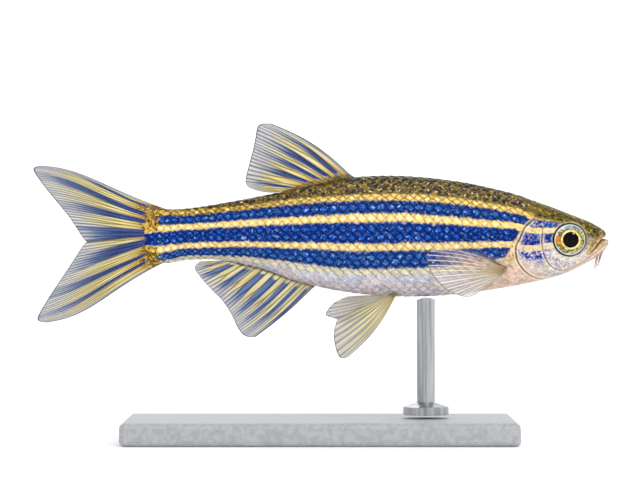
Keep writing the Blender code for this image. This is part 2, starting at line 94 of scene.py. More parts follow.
# Heights of the stripes' edges along the body, from the gold line under the back to the belly.
STRIPES = (
    (-15.4, 2.50, 2.00, 1.32, 0.58, -0.48, -1.28, -1.84),
    (-13.9, 2.60, 2.10, 1.37, 0.63, -0.43, -1.28, -1.84),
    (-12.1, 2.62, 2.07, 1.42, 0.81, -0.24, -0.85, -1.42),
    (-10.4, 2.70, 2.18, 1.49, 0.91, -0.15, -0.77, -1.31),
    (-6.9, 2.98, 2.54, 1.76, 1.10, -0.09, -0.66, -1.38),
    (-3.4, 3.42, 2.92, 1.97, 1.25, -0.13, -0.76, -1.73),
    (0.0, 3.72, 3.18, 2.17, 1.37, -0.17, -0.90, -2.18),
    (3.5, 3.90, 3.34, 2.34, 1.44, -0.27, -1.05, -2.47),
    (7.0, 3.96, 3.34, 2.37, 1.47, -0.21, -0.97, -2.38),
    (10.5, 3.78, 3.16, 2.14, 1.29, -0.16, -0.94, -2.26),
    (14.0, 3.30, 2.76, 1.84, 1.08, -0.10, -0.75, -1.78),
    (16.6, 2.82, 2.29, 1.58, 0.92, -0.10, -0.65, -1.48),
    (16.95, 2.74, 2.21, 1.50, 0.87, -0.14, -0.68, -1.54),
    (17.5, 2.58, 2.07, 1.32, 0.75, -0.46, -0.97, -1.74),
    (18.6, 2.30, 1.80, 1.05, 0.58, -0.45, -0.95, -1.78),
    (20.3, 1.98, 1.58, 1.05, 0.61, -0.19, -0.70, -1.63),
    (25.0, 1.30, 1.20, 0.90, 0.60, -0.19, -0.70, -1.50),
)
BACK_BAND, BELLY_BAND = 0.9, 0.7

# Scales: rows as places in the stripes, then their size, overlap, lift and where they end ahead.
FLANK_ROWS = (0, 0.5, 1, 1.5, 2, 2.5, 3, 3.27, 3.5, 3.73, 4, 4.5, 5, 5.33, 5.67, 6)
STRONG_ROWS = (0.5, 1.5, 2.5, 3.27, 3.73, 4.5, 5.33, 5.67)
EDGE_ROW_SHIFTS = {1: 0.12, 2: -0.12, 3: 0.12, 4: -0.12, 5: 0.12, 6: -0.12}
ROW_STEP, ROW_MIX, ROW_ROOM = 0.43, 0.5, 0.86
SCALE_PITCH, TAIL_PITCH, FIRST_SCALE = 0.82, 0.64, 19.2
SCALE_OVERLAP, SCALE_HALF_HEIGHT = 1.62, 0.50
SCALE_SINK, SCALE_LIFT, SCALE_CURL = -0.06, 0.05, 0.012
SCALE_THICKNESS = 0.02
SCALE_GRID = 7
SCALE_PATCH = 0.003
SCALES_FRONT = ((-5.2, 12.8), (-3.4, 14.6), (-2.2, 16.0), (1.2, 17.35), (1.8, 18.0), (2.4, 18.9), (6.0, 19.2))

# Eyes: centre, size and the radii of the rings, and the height of the eyes' solids.
EYE_X, EYE_Y, EYE_Z, EYE_SOLID_Z = 21.71, 1.70, 0.02, 0.05
EYE_RADIUS, EYE_BULGE, EYE_TURN, EYE_STRETCH = 1.42, 0.46, 13.0, 1.05
EYE_BACK = 0.25
PUPIL_RADIUS, GOLD_RING_RADIUS, IRIS_RADIUS, PALE_RING_RADIUS = 0.69, 0.84, 1.245, 1.325
SOCKET_BLEND, SOCKET_DEPTH = 0.28, 0.45
NEARER_EYE = 1 + (EYE_Y + EYE_BULGE / 2) / CAMERA_DISTANCE
EYE_AT = (EYE_X / NEARER_EYE, EYE_Z / NEARER_EYE)

# Lines on the head, as places along the length and heights.
HEAD_LINES = {
    "slit": (
        (18.75, 2.05), (18.50, 1.72), (17.83, 1.09), (17.30, 0.0), (17.03, -0.70),
        (17.14, -1.70), (17.61, -2.49), (18.30, -3.10), (19.0, -3.36), (19.8, -3.42),
    ),
    "cheek": (
        (18.6, 1.45), (19.15, 1.30), (19.36, 0.90), (19.31, 0.0), (19.42, -1.09),
        (19.86, -2.02), (20.45, -2.52), (21.2, -2.66), (22.0, -2.45),
    ),
    "cover": ((17.2, -1.0), (17.7, -1.62), (18.5, -2.22), (19.3, -2.62), (20.1, -2.85)),
    "shoulder": (
        (18.9, 2.2), (18.38, 1.75), (17.68, 1.05), (16.88, 0.06), (16.29, -1.13),
        (15.69, -1.92), (14.6, -2.75), (13.2, -3.6), (11.5, -4.4), (10.0, -5.5),
    ),
    "mouth": ((25.2, 0.34), (24.90, 0.16), (24.60, -0.02), (24.29, -0.33), (23.95, -0.74), (23.6, -1.08)),
    "lip": ((24.62, 0.82), (24.30, 0.36), (24.0, -0.10), (23.6, -0.62), (23.25, -1.05)),
    "jaw": (
        (25.1, -0.20), (24.78, -0.42), (24.4, -0.76), (23.63, -1.38),
        (23.09, -1.80), (22.3, -2.22), (21.2, -2.66),
    ),
    "crown": (
        (17.0, 2.70), (18.3, 2.12), (19.0, 1.86), (20.1, 1.68), (20.65, 1.5), (21.1, 1.33),
        (21.9, 1.36), (22.7, 0.98), (23.2, 0.5), (23.6, 0.2), (24.5, 0.0),
    ),
    "chin": ((18.6, -3.5), (19.6, -3.33), (20.8, -2.84), (22.7, -2.0), (24.3, -1.15)),
}
ANGULAR_LINES = ("shoulder", "crown", "chin")
MARKS_FROM = 8.8

# Spots on the head, and their radii.
NOSTRIL_RADIUS, KNOB_RADIUS, CHEEK_SPOT_RADIUS, SNOUT_TINT_RADIUS = 0.10, 0.42, 0.27, 0.85
KNOB_HEIGHT = -2.62
HEAD_SPOTS = {
    "eye": (EYE_X, EYE_Z),
    "nostril": (23.89, 0.76),
    "knob": (16.35, KNOB_HEIGHT),
    "cheek_spot": (19.97, 1.3),
    "snout": (23.75, 0.35),
}
LIP_RISE, LIP_FRONT, LIP_PUSH, JAW_PUSH = 0.04, 24.82, 0.10, 0.10

# Marks beside the head's lines and spots: which one, how far from it, width, strength and where they show.
RELIEF_MARKS = (
    ("slit", 0.0, 0.05, -0.03, "slit_run"),
    ("cheek", 0.0, 0.06, -0.05, "cheek_run"),
    ("cheek", 0.16, 0.12, 0.03, "cheek_run"),
    ("cover", 0.0, 0.05, -0.02, "flank"),
    ("shoulder", 0.25, 0.22, 0.05, "shoulder_rear"),
    ("mouth", 0.20, 0.10, 0.06, "mouth_run"),
    ("lip", 0.0, 0.06, -0.035, "flank"),
    ("eye", EYE_RADIUS + 0.14, 0.07, 0.03, "flank"),
    ("nostril", 0.0, NOSTRIL_RADIUS, -0.16, "everywhere"),
    ("nostril", 0.21, 0.07, 0.035, "everywhere"),
    ("jaw", 0.0, 0.06, -0.03, "flank"),
    ("knob", 0.0, KNOB_RADIUS, 0.16, "flank"),
)
# Crease marks are dark lines painted as shade in the head's grooves.
CREASE_SHADE_MARKS = (
    ("slit", 0.0, 0.062, 1.0, "slit_run"),
    ("cheek", 0.0, 0.048, 0.85, "cheek_run"),
    ("cover", 0.0, 0.04, 0.25, "cover_run"),
    ("shoulder", 0.0, 0.06, 0.35, "shoulder_top"),
    ("mouth", 0.0, 0.05, 0.55, "everywhere"),
    ("lip", 0.0, 0.05, 0.55, "flank"),
    ("jaw", 0.0, 0.05, 0.45, "flank"),
    ("eye", EYE_RADIUS + 0.02, 0.04, 0.6, "flank"),
    ("knob", KNOB_RADIUS, 0.06, 0.7, "knob_top"),
)
# Pale marks are painted highlights beside the creases, on their raised edges, and round the eye.
PALE_HIGHLIGHT_MARKS = (
    ("slit", 0.15, 0.065, 1.1, "slit_run"),
    ("cheek", 0.13, 0.055, 0.9, "cheek_low"),
    ("cover", 0.08, 0.05, 0.7, "cover_run"),
    ("mouth", 0.17, 0.07, 0.5, "mouth_run"),
    ("eye", EYE_RADIUS + 0.36, 0.16, 0.7, "under_eye"),
    ("eye", EYE_RADIUS + 0.13, 0.05, 0.6, "flank"),
    ("jaw", 0.10, 0.06, 0.6, "flank"),
)

# Fins: each ray is its root's place, its tip, and how far it bows to its upper side.
DORSAL_RAYS = (
    (2.60, -4.40, 10.18, 0.50),
    (1.75, -5.34, 9.95, 0.36),
    (0.70, -5.62, 8.82, 0.15),
    (-0.15, -5.82, 7.85, 0.08),
    (-1.10, -6.13, 6.70, 0.03),
    (-2.10, -6.47, 5.22, 0.0),
    (-2.45, -6.26, 4.66, -0.12),
    (-2.75, -5.60, 4.32, -0.20),
)
ANAL_RAYS = (
    (-0.70, -5.74, -8.52, -0.16),
    (-1.60, -6.58, -8.30, -0.14),
    (-2.40, -7.16, -7.62, -0.15),
    (-3.30, -7.48, -6.92, -0.08),
    (-4.40, -7.90, -6.12, -0.03),
    (-5.50, -8.60, -5.14, 0.0),
    (-6.70, -9.50, -4.24, 0.0),
    (-7.60, -10.38, -3.24, 0.0),
    (-8.30, -10.90, -2.42, 0.0),
    (-8.60, -10.50, -1.88, 0.0),
)
PELVIC_RIGHT_RAYS = (
    (6.55, 2.32, -10.16, -0.42),
    (6.42, 1.66, -10.06, -0.36),
    (6.25, 1.28, -8.98, -0.18),
    (6.08, 1.22, -7.88, -0.05),
    (5.90, 1.50, -6.75, 0.0),
)
PELVIC_LEFT_RAYS = (
    (6.58, 2.60, -7.60, -0.20),
    (6.48, 1.50, -6.95, -0.16),
    (6.36, 0.55, -6.60, -0.12),
    (6.22, 0.72, -6.08, -0.06),
    (6.08, 1.36, -5.44, 0.0),
    (5.90, 2.40, -4.95, 0.05),
)
PELVIC_ANGLE, PELVIC_SPREAD = 158.0, 1.9

# On the tail and pectoral fins each ray gives its root's height too.
CAUDAL_ROOT, CAUDAL_SWEEP, CAUDAL_SKEW = -15.22, 0.7, 1.9
CAUDAL_UPPER_RAYS = (
    (-13.9, 2.88, -24.55, 6.50, 0.50),
    (-15.1, 2.90, -24.97, 6.12, 0.40),
    (CAUDAL_ROOT, 2.30, -24.30, 5.04, 0.28),
    (CAUDAL_ROOT, 1.70, -23.10, 3.52, 0.12),
    (CAUDAL_ROOT, 1.05, -21.75, 1.86, 0.03),
    (CAUDAL_ROOT, 0.29, -20.46, -0.16, 0.0),
)
CAUDAL_LOWER_RAYS = (
    (CAUDAL_ROOT, 0.29, -20.46, -0.16, 0.0),
    (CAUDAL_ROOT, -0.45, -21.70, -2.10, -0.05),
    (CAUDAL_ROOT, -0.95, -22.90, -3.90, -0.10),
    (CAUDAL_ROOT, -1.40, -23.90, -5.45, -0.18),
    (CAUDAL_ROOT, -1.86, -24.62, -6.82, -0.45),
    (-14.0, -2.17, -24.08, -7.22, -0.65),
)
PECTORAL_RAYS = (
    (16.20, -2.40, 9.90, -0.58, 0.38),
    (16.10, -2.55, 9.14, -1.15, 0.30),
    (15.98, -2.68, 9.22, -2.10, 0.15),
    (15.86, -2.80, 9.75, -3.15, 0.05),
    (15.74, -2.92, 10.90, -4.28, 0.0),
    (15.62, -3.04, 12.40, -4.86, 0.0),
    (15.50, -3.16, 13.30, -4.70, 0.0),
)
PECTORAL_SPREAD = 2.9

# Fin meshes: the gap to the body's solids, thickness, grid, forks and rounded corners.
FIN_GAP = 0.3
MEMBRANE_ROOT, MEMBRANE_EDGE, RAY_HEIGHT = 0.07, 0.02, 0.045
FIN_STEPS, STEPS_PER_RAY = 60, 20
FIN_MARGIN_STEPS = (0.978, 0.986, 0.992, 0.996)
FORK_LENGTH = 0.4
CORNER_WIDTH, CORNER_TRIM = 0.08, 0.03
DORSAL_COUNT, ANAL_COUNT, CAUDAL_COUNT, PELVIC_COUNT, PECTORAL_COUNT = 14, 18, 17, 8, 13
STREAK_ROWS, STREAKS_PER_RAY = 5, 6

# Blue bands on the fins: place across at the root and at the tip, width, and where it fades out.
DORSAL_BANDS = (
    (0.154, 0.094, 0.062, 0.85),
    (0.266, 0.257, 0.072, 0.85),
    (0.407, 0.407, 0.076, 0.85),
    (0.557, 0.574, 0.072, 0.8),
    (0.76, 0.72, 0.07, 0.8),
)
ANAL_BANDS = (
    (0.045, 0.015, 0.035, 0.85),
    (0.15, 0.11, 0.058, 0.9),
    (0.275, 0.225, 0.062, 0.9),
    (0.39, 0.36, 0.066, 0.9),
    (0.50, 0.49, 0.062, 0.9),
    (0.625, 0.63, 0.064, 0.9),
    (0.77, 0.77, 0.06, 0.9),
    (0.90, 0.86, 0.035, 0.9),
)
UPPER_BANDS = (
    (0.19, 0.02, 0.07, 0.65),
    (0.42, 0.30, 0.13, 0.92),
    (0.63, 0.65, 0.12, 0.9),
    (0.92, 0.94, 0.16, 0.97),
)
LOWER_BANDS = ((0.14, 0.225, 0.18, 0.9), (0.55, 0.50, 0.13, 0.98), (0.82, 0.77, 0.075, 0.95))

# Paint: the bands, where they start, the clear strips ahead and behind, root line, warmth and ragged root.
DORSAL_PAINT = (DORSAL_BANDS, 0.0, 0.05, 0.02, 0.012, 1.0, 0.0)
ANAL_PAINT = (ANAL_BANDS, 0.0, 0.012, 0.0, -0.035, 0.45, 0.0)
UPPER_PAINT = (UPPER_BANDS, -0.05, 0.07, -0.05, -0.2, 1.0, 0.06)
LOWER_PAINT = (LOWER_BANDS, -0.05, -0.05, 0.05, -0.2, 1.0, 0.06)

# Barbels: place, angle from the back, lean backwards and length.
BARBELS = {"front": (24.60, 148.0, 0.26, 1.36), "rear": (24.20, 148.0, 0.18, 1.36)}
BARBEL_RADIUS, BARBEL_TIP, BARBEL_SINK = 0.08, 0.02, 0.12
BARBEL_SIDES, BARBEL_STEPS = 12, 22

# Stripe colours: where each ends, its own colour, the middle of a scale (dark spots on the back, a lighter
# painted highlight on the stripes), the edge of a scale and the glints, which are painted highlights.
BAND_LOW, BAND_HIGH, BAND_BLUR = -4.0, 12.0, 0.04
BANDS = (
    (-2.6, (60, 56, 24), (46, 46, 32), (78, 70, 28), (112, 96, 38)),
    (-1.5, (70, 64, 28), (20, 30, 42), (104, 90, 34), (172, 142, 60)),
    (0.0, (88, 78, 38), (8, 26, 62), (158, 130, 54), (246, 218, 140)),
    (1.0, (216, 178, 90), (246, 222, 148), (124, 96, 38), (255, 250, 226)),
    (2.0, (3, 34, 102), (30, 106, 200), (3, 18, 66), (190, 222, 248)),
    (3.0, (236, 202, 122), (252, 232, 168), (200, 160, 92), (255, 252, 236)),
    (4.0, (1, 32, 108), (22, 98, 202), (1, 16, 72), (166, 210, 248)),
    (5.0, (230, 198, 128), (248, 228, 168), (192, 154, 98), (255, 252, 236)),
    (6.0, (6, 38, 108), (42, 108, 194), (6, 22, 76), (164, 202, 240)),
    (6.95, (206, 196, 164), (238, 228, 188), (150, 152, 164), (255, 253, 242)),
    (8.3, (196, 194, 202), (150, 158, 190), (222, 222, 222), (246, 246, 248)),
    (12.0, (204, 194, 194), (218, 212, 214), (174, 162, 160), (240, 236, 236)),
)

# Head layers in order: mask, strength or the speckle that holds it, ground, and flecks. A fleck is its
# colour and a speckle: noise per millimetre, the noise's detail, where it begins and is full, and strength.
# The sparse near-white flecks of the silver, pink, beige and snout layers are painted glints.
HEAD_LAYERS = (
    ("silver", 1.0, (154, 146, 146), (
        ((214, 208, 202), 4.5, 4, 0.40, 0.60, 1.0),
        ((148, 144, 168), 2.2, 4, 0.52, 0.62, 0.65),
        ((214, 190, 124), 1.3, 4, 0.47, 0.38, 0.65),
        # painted glints
        ((248, 246, 240), 4.0, 5, 0.57, 0.64, 0.8),
    )),
    ("glitter", (2.2, 4, 0.38, 0.58), (44, 66, 148), (
        ((212, 206, 216), 4.4, 4, 0.43, 0.60, 1.0),
        ((140, 116, 176), 3.4, 4, 0.52, 0.62, 0.7),
    )),
    ("spot", 1.0, (14, 56, 136), (((78, 134, 206), 4.5, 4, 0.45, 0.62, 1.0),)),
    ("pink", 1.0, (198, 164, 148), (
        ((224, 200, 182), 1.3, 4, 0.35, 0.65, 1.0),
        ((200, 150, 144), 4.5, 4, 0.52, 0.66, 0.7),
        ((182, 148, 112), 3.2, 5, 0.46, 0.38, 0.55),
        # painted glints
        ((246, 232, 222), 5.0, 4, 0.58, 0.66, 0.6),
    )),
    ("beige", 1.0, (158, 126, 62), (
        ((224, 194, 128), 4.5, 4, 0.38, 0.58, 1.0),
        ((226, 186, 166), 1.3, 4, 0.48, 0.62, 0.5),
        ((136, 96, 62), 2.6, 4, 0.47, 0.37, 0.7),
        # painted glints
        ((252, 240, 206), 4.4, 5, 0.57, 0.64, 0.85),
    )),
    ("snout", 1.0, (104, 90, 42), (
        ((182, 160, 104), 4.5, 4, 0.40, 0.60, 1.0),
        # painted glints
        ((236, 228, 214), 4.4, 4, 0.57, 0.65, 0.75),
        ((92, 92, 88), 3.0, 4, 0.44, 0.36, 0.6),
    )),
    ("olive", 1.0, (62, 57, 24), (
        ((108, 95, 40), 4.5, 4, 0.38, 0.60, 1.0),
        ((184, 150, 58), 3.0, 5, 0.55, 0.66, 0.75),
        ((34, 38, 28), 3.6, 5, 0.46, 0.36, 0.8),
    )),
    ("lip", 0.8, (138, 108, 56), (((200, 166, 112), 4.5, 4, 0.4, 0.6, 1.0),)),
    # Painted highlights beside the creases and round the eye.
    ("pale", 0.65, (232, 220, 196), ()),
    ("mouth", 0.8, (138, 58, 40), ()),
    # Painted shade in the creases and under the head.
    ("crease_shade", 0.9, (92, 66, 36), ()),
    # Painted shade in the nostril.
    ("pit_shade", 1.0, (14, 16, 14), ()),
)
KNOT_GROUND = (128, 98, 24)
KNOT_FLECKS = (((216, 176, 78), 4.5, 4, 0.42, 0.58, 1.0), ((54, 50, 26), 5.0, 4, 0.50, 0.60, 0.85))

# Iris patches: colour, weights of the place ahead and of the height, where it begins and is full, strength.
IRIS_PATCHES = (
    ((204, 118, 24), 1, 0, -0.30, -0.75, 0.95),
    ((84, 112, 66), 1, 1, -0.80, -1.15, 0.9),
    ((126, 146, 160), 0, 1, 0.45, 0.8, 0.95),
    ((228, 230, 228), -1, 1, 0.95, 1.2, 0.85),
    ((96, 116, 84), 1, 0, 0.45, 0.85, 0.85),
    ((226, 214, 160), 0, 1, -0.60, -0.85, 0.7),
)
IRIS_FLECKS = (((34, 46, 52), 3.4, 4, 0.50, 0.60, 0.8), ((246, 232, 178), 5.0, 4, 0.44, 0.36, 0.6))

# Studio: light from all round, the glow of the far floor, the floor in metres and in linear light, and
# lamps: name, place in metres, size and power.
WORLD_LIGHT, WALL_GLOW = 0.66, 0.26
FLOOR_RADIUS, FLOOR_SEGMENTS, FLOOR_RINGS = 1.6, 48, (0.5, 0.9, 1.1)
FLOOR_WHITE, GLOW_WHITE = (0.95, 0.95, 0.95, 1), (1, 1, 1, 1)
LIGHTS = (
    ("key", (0.10, -0.50, 0.60), 0.35, 1.5),
    ("glint", (0.39, -0.46, 0.22), 0.055, 0.8),
    ("glint_left", (0.39, 0.46, 0.22), 0.055, 0.8),
    ("back", (-0.1, 0.55, 0.55), 0.4, 0.9),
)

# The height of the body's axis above the floor, from the right eye's solid.
eye_low, eye_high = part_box("eye_right")
AXIS_HEIGHT = (eye_low.z + eye_high.z) / 2 / MM - EYE_SOLID_Z


def rgb(red, green, blue):
    """A colour from its screen values, in linear light."""
    linear = [c / 255 / 12.92 if c < 11 else ((c / 255 + 0.055) / 1.055) ** 2.4 for c in (red, green, blue)]
    return (*linear, 1.0)


class Curve:
    """A smooth curve through (place, value) pairs in rising order."""

    def __init__(self, points):
        self.places, self.values = np.array(points, float).T
        index = np.arange(len(self.places))
        low, high = np.maximum(index - 1, 0), np.minimum(index + 1, len(index) - 1)
        self.slopes = (self.values[high] - self.values[low]) / (self.places[high] - self.places[low])

    def __call__(self, place):
        place = np.clip(place, self.places[0], self.places[-1])
        i = np.clip(np.searchsorted(self.places, place, side="right") - 1, 0, len(self.places) - 2)
        span = self.places[i + 1] - self.places[i]
        t = (place - self.places[i]) / span
        return (
            self.values[i] * (1 + 2 * t) * (1 - t) ** 2
            + self.slopes[i] * span * t * (1 - t) ** 2
            + self.values[i + 1] * t * t * (3 - 2 * t)
            + self.slopes[i + 1] * span * t * t * (t - 1)
        )


def smooth(low, high, value):
    """0 at low and before it, 1 at high and past it, and a smooth rise between."""
    t = np.clip((value - low) / (high - low), 0, 1)
    return t * t * (3 - 2 * t)


def bump(distance, width):
    """1 at no distance, falling off smoothly over the width."""
    return np.exp(-((distance / width) ** 2))


def signed_power(value, power):
    return np.sign(value) * np.abs(value) ** power


BACK, BELLY, HALF = (Curve([(s[0], s[k]) for s in STATIONS]) for k in (1, 2, 3))
STRIPE_EDGES = [Curve([(s[0], s[k]) for s in STRIPES]) for k in range(1, len(STRIPES[0]))]


def section(x):
    """The body's back, belly and half width at places along its length."""
    into = np.clip((x - SNOUT_TIP + SNOUT_ROUNDING) / SNOUT_ROUNDING, 0, 1)
    close = np.sqrt(1 - into**2)
    level = SNOUT_LEVEL * into
    past = np.clip((TAIL_TAPER_START - x) / (TAIL_TAPER_START - TAIL_END), 0, 1)
    taper = np.sqrt(1 - past**2)
    return (BACK(x) - level) * close + level, (BELLY(x) - level) * close + level, HALF(x) * close * taper


def surface(x, angle):
    """Points of the body's surface."""
    back, belly, half = section(x)
    level = belly + WIDEST_LEVEL * (back - belly)
    turn = np.radians(angle)
    across = signed_power(np.sin(turn), 2 / SECTION_POWER)
    up = signed_power(np.cos(turn), 2 / SECTION_POWER)
    height = up * np.where(up > 0, back - level, level - belly)
    return np.stack([x + 0 * across, half * across, level + height], -1)


def normals(x, angle):
    """The surface's outward directions."""
    step_x, step_angle = 0.04, 0.8
    ahead = np.minimum(x + step_x, SNOUT_TIP - 0.001)
    along = surface(ahead, angle) - surface(x - step_x, angle)
    around = surface(x, angle + step_angle) - surface(x, angle - step_angle)
    out = np.cross(along, around)
    return out / np.maximum(np.linalg.norm(out, axis=-1, keepdims=True), 1e-9)


class BodyMap:
    """Tables of arc length and stripe place over the left half of the body, a column for each degree."""

    def __init__(self):
        self.x = np.linspace(TAIL_END, SNOUT_TIP - 0.01, MAP_PLACES)
        self.angle = np.linspace(0, 180, MAP_TURNS)
        points = surface(self.x[:, None], self.angle[None, :])
        steps = np.linalg.norm(np.diff(points, axis=1), axis=-1)
        self.arc = np.concatenate([np.zeros((len(self.x), 1)), np.cumsum(steps, axis=1)], axis=1)
        self.band = np.zeros_like(self.arc)
        edges = np.stack([edge(self.x) for edge in STRIPE_EDGES], -1)
        index = np.arange(edges.shape[1], dtype=float)
        for i in range(len(self.x)):
            marks = np.interp(-edges[i], -points[i, :, 2], self.arc[i])
            inside = np.interp(self.arc[i], marks, index)
            above = (self.arc[i] - marks[0]) / BACK_BAND
            below = index[-1] + (self.arc[i] - marks[-1]) / BELLY_BAND
            self.band[i] = np.where(above < 0, above, np.where(below > index[-1], below, inside))

    def at(self, table, x, angle):
        """The table's value at a place and an angle of either side."""
        half = 180 - np.abs(180 - np.mod(angle, 360))
        i = np.clip((x - self.x[0]) / (self.x[1] - self.x[0]), 0, len(self.x) - 1.001)
        j = np.clip(half, 0, 179.999)
        low_i, low_j = i.astype(int), j.astype(int)
        ti, tj = i - low_i, j - low_j
        top = table[low_i, low_j] * (1 - tj) + table[low_i, low_j + 1] * tj
        bottom = table[low_i + 1, low_j] * (1 - tj) + table[low_i + 1, low_j + 1] * tj
        return top * (1 - ti) + bottom * ti

    def row(self, band):
        """The angle of a stripe place at each x of the table, NaN where the row runs off the body."""
        return np.array([np.interp(band, b, self.angle, left=np.nan, right=np.nan) for b in self.band])


BODY = BodyMap()


def line_distance(x, z, line):
    """Distance to a line of points, which side (positive on its right as it runs), and the share along."""
    best = np.full(np.shape(x), 1e9)
    side, share = np.zeros(np.shape(x)), np.zeros(np.shape(x))
    lengths = [math.dist(a, b) for a, b in zip(line, line[1:])]
    run = 0.0
    for (ax, az), (bx, bz), length in zip(line, line[1:], lengths):
        t = np.clip(((x - ax) * (bx - ax) + (z - az) * (bz - az)) / length**2, 0, 1)
        dx, dz = x - ax - t * (bx - ax), z - az - t * (bz - az)
        distance = np.hypot(dx, dz)
        near = distance < best
        best = np.where(near, distance, best)
        side = np.where(near, np.sign(dx * (bz - az) - dz * (bx - ax)), side)
        share = np.where(near, (run + t * length) / sum(lengths), share)
        run += length
    return best, side, share


def eased(line, parts=5):
    """The line with more points, on a smooth curve through its own."""
    steps = np.arange(len(line))
    dense = np.linspace(0, len(line) - 1, (len(line) - 1) * parts + 1)
    across, up = (Curve([(k, point[axis]) for k, point in zip(steps, line)])(dense) for axis in (0, 1))
    return [(float(a), float(b)) for a, b in zip(across, up)]


def seen_band(x, z):
    """The stripe place of points seen from the side."""
    edges = np.stack([edge(x) for edge in STRIPE_EDGES], -1)
    band = np.zeros(np.shape(x))
    for k in range(edges.shape[-1] - 1):
        band += np.clip((edges[..., k] - z) / (edges[..., k] - edges[..., k + 1]), 0, 1)
    above = np.clip(z - edges[..., 0], 0, 9) / BACK_BAND
    return band - above + np.clip(edges[..., -1] - z, 0, 9) / BELLY_BAND


def head_plan(points, flank):
    """Distances to the head's lines and spots as a look from the side shows them, and where marks show."""
    nearer = 1 + np.abs(points[..., 1]) / CAMERA_DISTANCE
    x, z = points[..., 0] * nearer, points[..., 2] * nearer
    at = SimpleNamespace(x=x, z=z, flank=flank, everywhere=1.0)
    for name, line in HEAD_LINES.items():
        distance, side, share = line_distance(x, z, line if name in ANGULAR_LINES else eased(line))
        vars(at).update({name: distance, f"{name}_side": side, f"{name}_share": share})
    for name, spot in HEAD_SPOTS.items():
        setattr(at, name, np.hypot(x - spot[0], z - spot[1]))
    at.on_head = (at.slit_side < 0) * smooth(16.9, 17.2, x)
    at.open_mouth = 1 - smooth(0.35, 1.0, at.mouth_share)
    at.slit_run = smooth(0.0, 0.08, at.slit_share) * flank
    at.cheek_run = (1 - smooth(0.75, 1.0, at.cheek_share)) * flank
    at.cheek_low = at.cheek_run * (z < 0.6)
    at.mouth_run = 1 - 0.7 * (at.mouth_share > 0.999)
    at.cover_run = at.on_head * flank
    at.shoulder_rear = (at.shoulder_side < 0) * (z > -2.6) * flank
    at.shoulder_top = (z > -2.3) * flank
    at.knob_top = (z > KNOB_HEIGHT + 0.1) * flank
    at.under_eye = smooth(-0.6, -1.1, z) * flank
    return at


def drawn(at, marks):
    """The sum of marks beside the head's lines and spots."""
    return sum(
        strength * bump(getattr(at, beside) - offset, width) * getattr(at, where)
        for beside, offset, width, strength, where in marks
    )


def head_relief(at):
    """How far the skin stands out over the body's plain surface."""
    step = np.where(at.slit_side < 0, 0.08 * np.exp(-at.slit / 0.9), -0.05 * np.exp(-at.slit / 0.22))
    opening = (0.08 + 0.34 * at.open_mouth) * bump(at.mouth, 0.05 + 0.05 * at.open_mouth) * at.mouth_run
    swell = 0.09 * bump(at.x - 21.3, 1.1) * (1 - at.flank) * (at.z < -1.0)
    return step * at.slit_run - opening + swell + drawn(at, RELIEF_MARKS)


def pink_mask(at, lower_jaw, behind):
    """The throat, the jaw, the lower gill cover, the fin's knob and the shoulder's foot."""
    throat = smooth(-0.3, 0.8, -at.z - 2.2 - 0.26 * (at.x - 17.5)) * smooth(9.0, 14.5, at.x)
    under_cover = at.on_head * (at.cover_side > 0) * smooth(0.0, 0.2, at.cover)
    under_cover = under_cover * smooth(20.4, 19.4, at.x) * (at.z < -1.0)
    below_chin = (at.chin_side > 0) * smooth(0.0, 0.18, at.chin) * smooth(18.6, 19.4, at.x)
    return np.maximum.reduce([
        throat * (1 - 0.6 * at.on_head),
        0.9 * lower_jaw,
        0.55 * under_cover,
        0.85 * below_chin,
        bump(at.knob, 0.55),
        behind * smooth(-1.2, -2.6, at.z),
    ])


def glitter_mask(at, band, in_bars, bare):
    """The broken blue and lilac of the cheek, weaker on its lower gold bar."""
    by_height = 0.30 + 0.7 * smooth(0.4, -0.8, at.z) - 0.8 * smooth(-1.5, -2.4, at.z)
    cheek = at.on_head * np.clip(by_height, 0, 1) * bare * (0.3 + 0.7 * smooth(21.2, 20.3, at.x))
    top_bar = 0.7 * at.on_head * bump(band - 1.5, 0.5) * smooth(0.25, 0.45, at.cheek_spot) * in_bars
    gold_bar = smooth(3.9, 4.1, band) * smooth(5.1, 4.9, band) * (at.x < 20.6)
    return np.maximum(cheek, top_bar) * (1 - 0.45 * gold_bar)


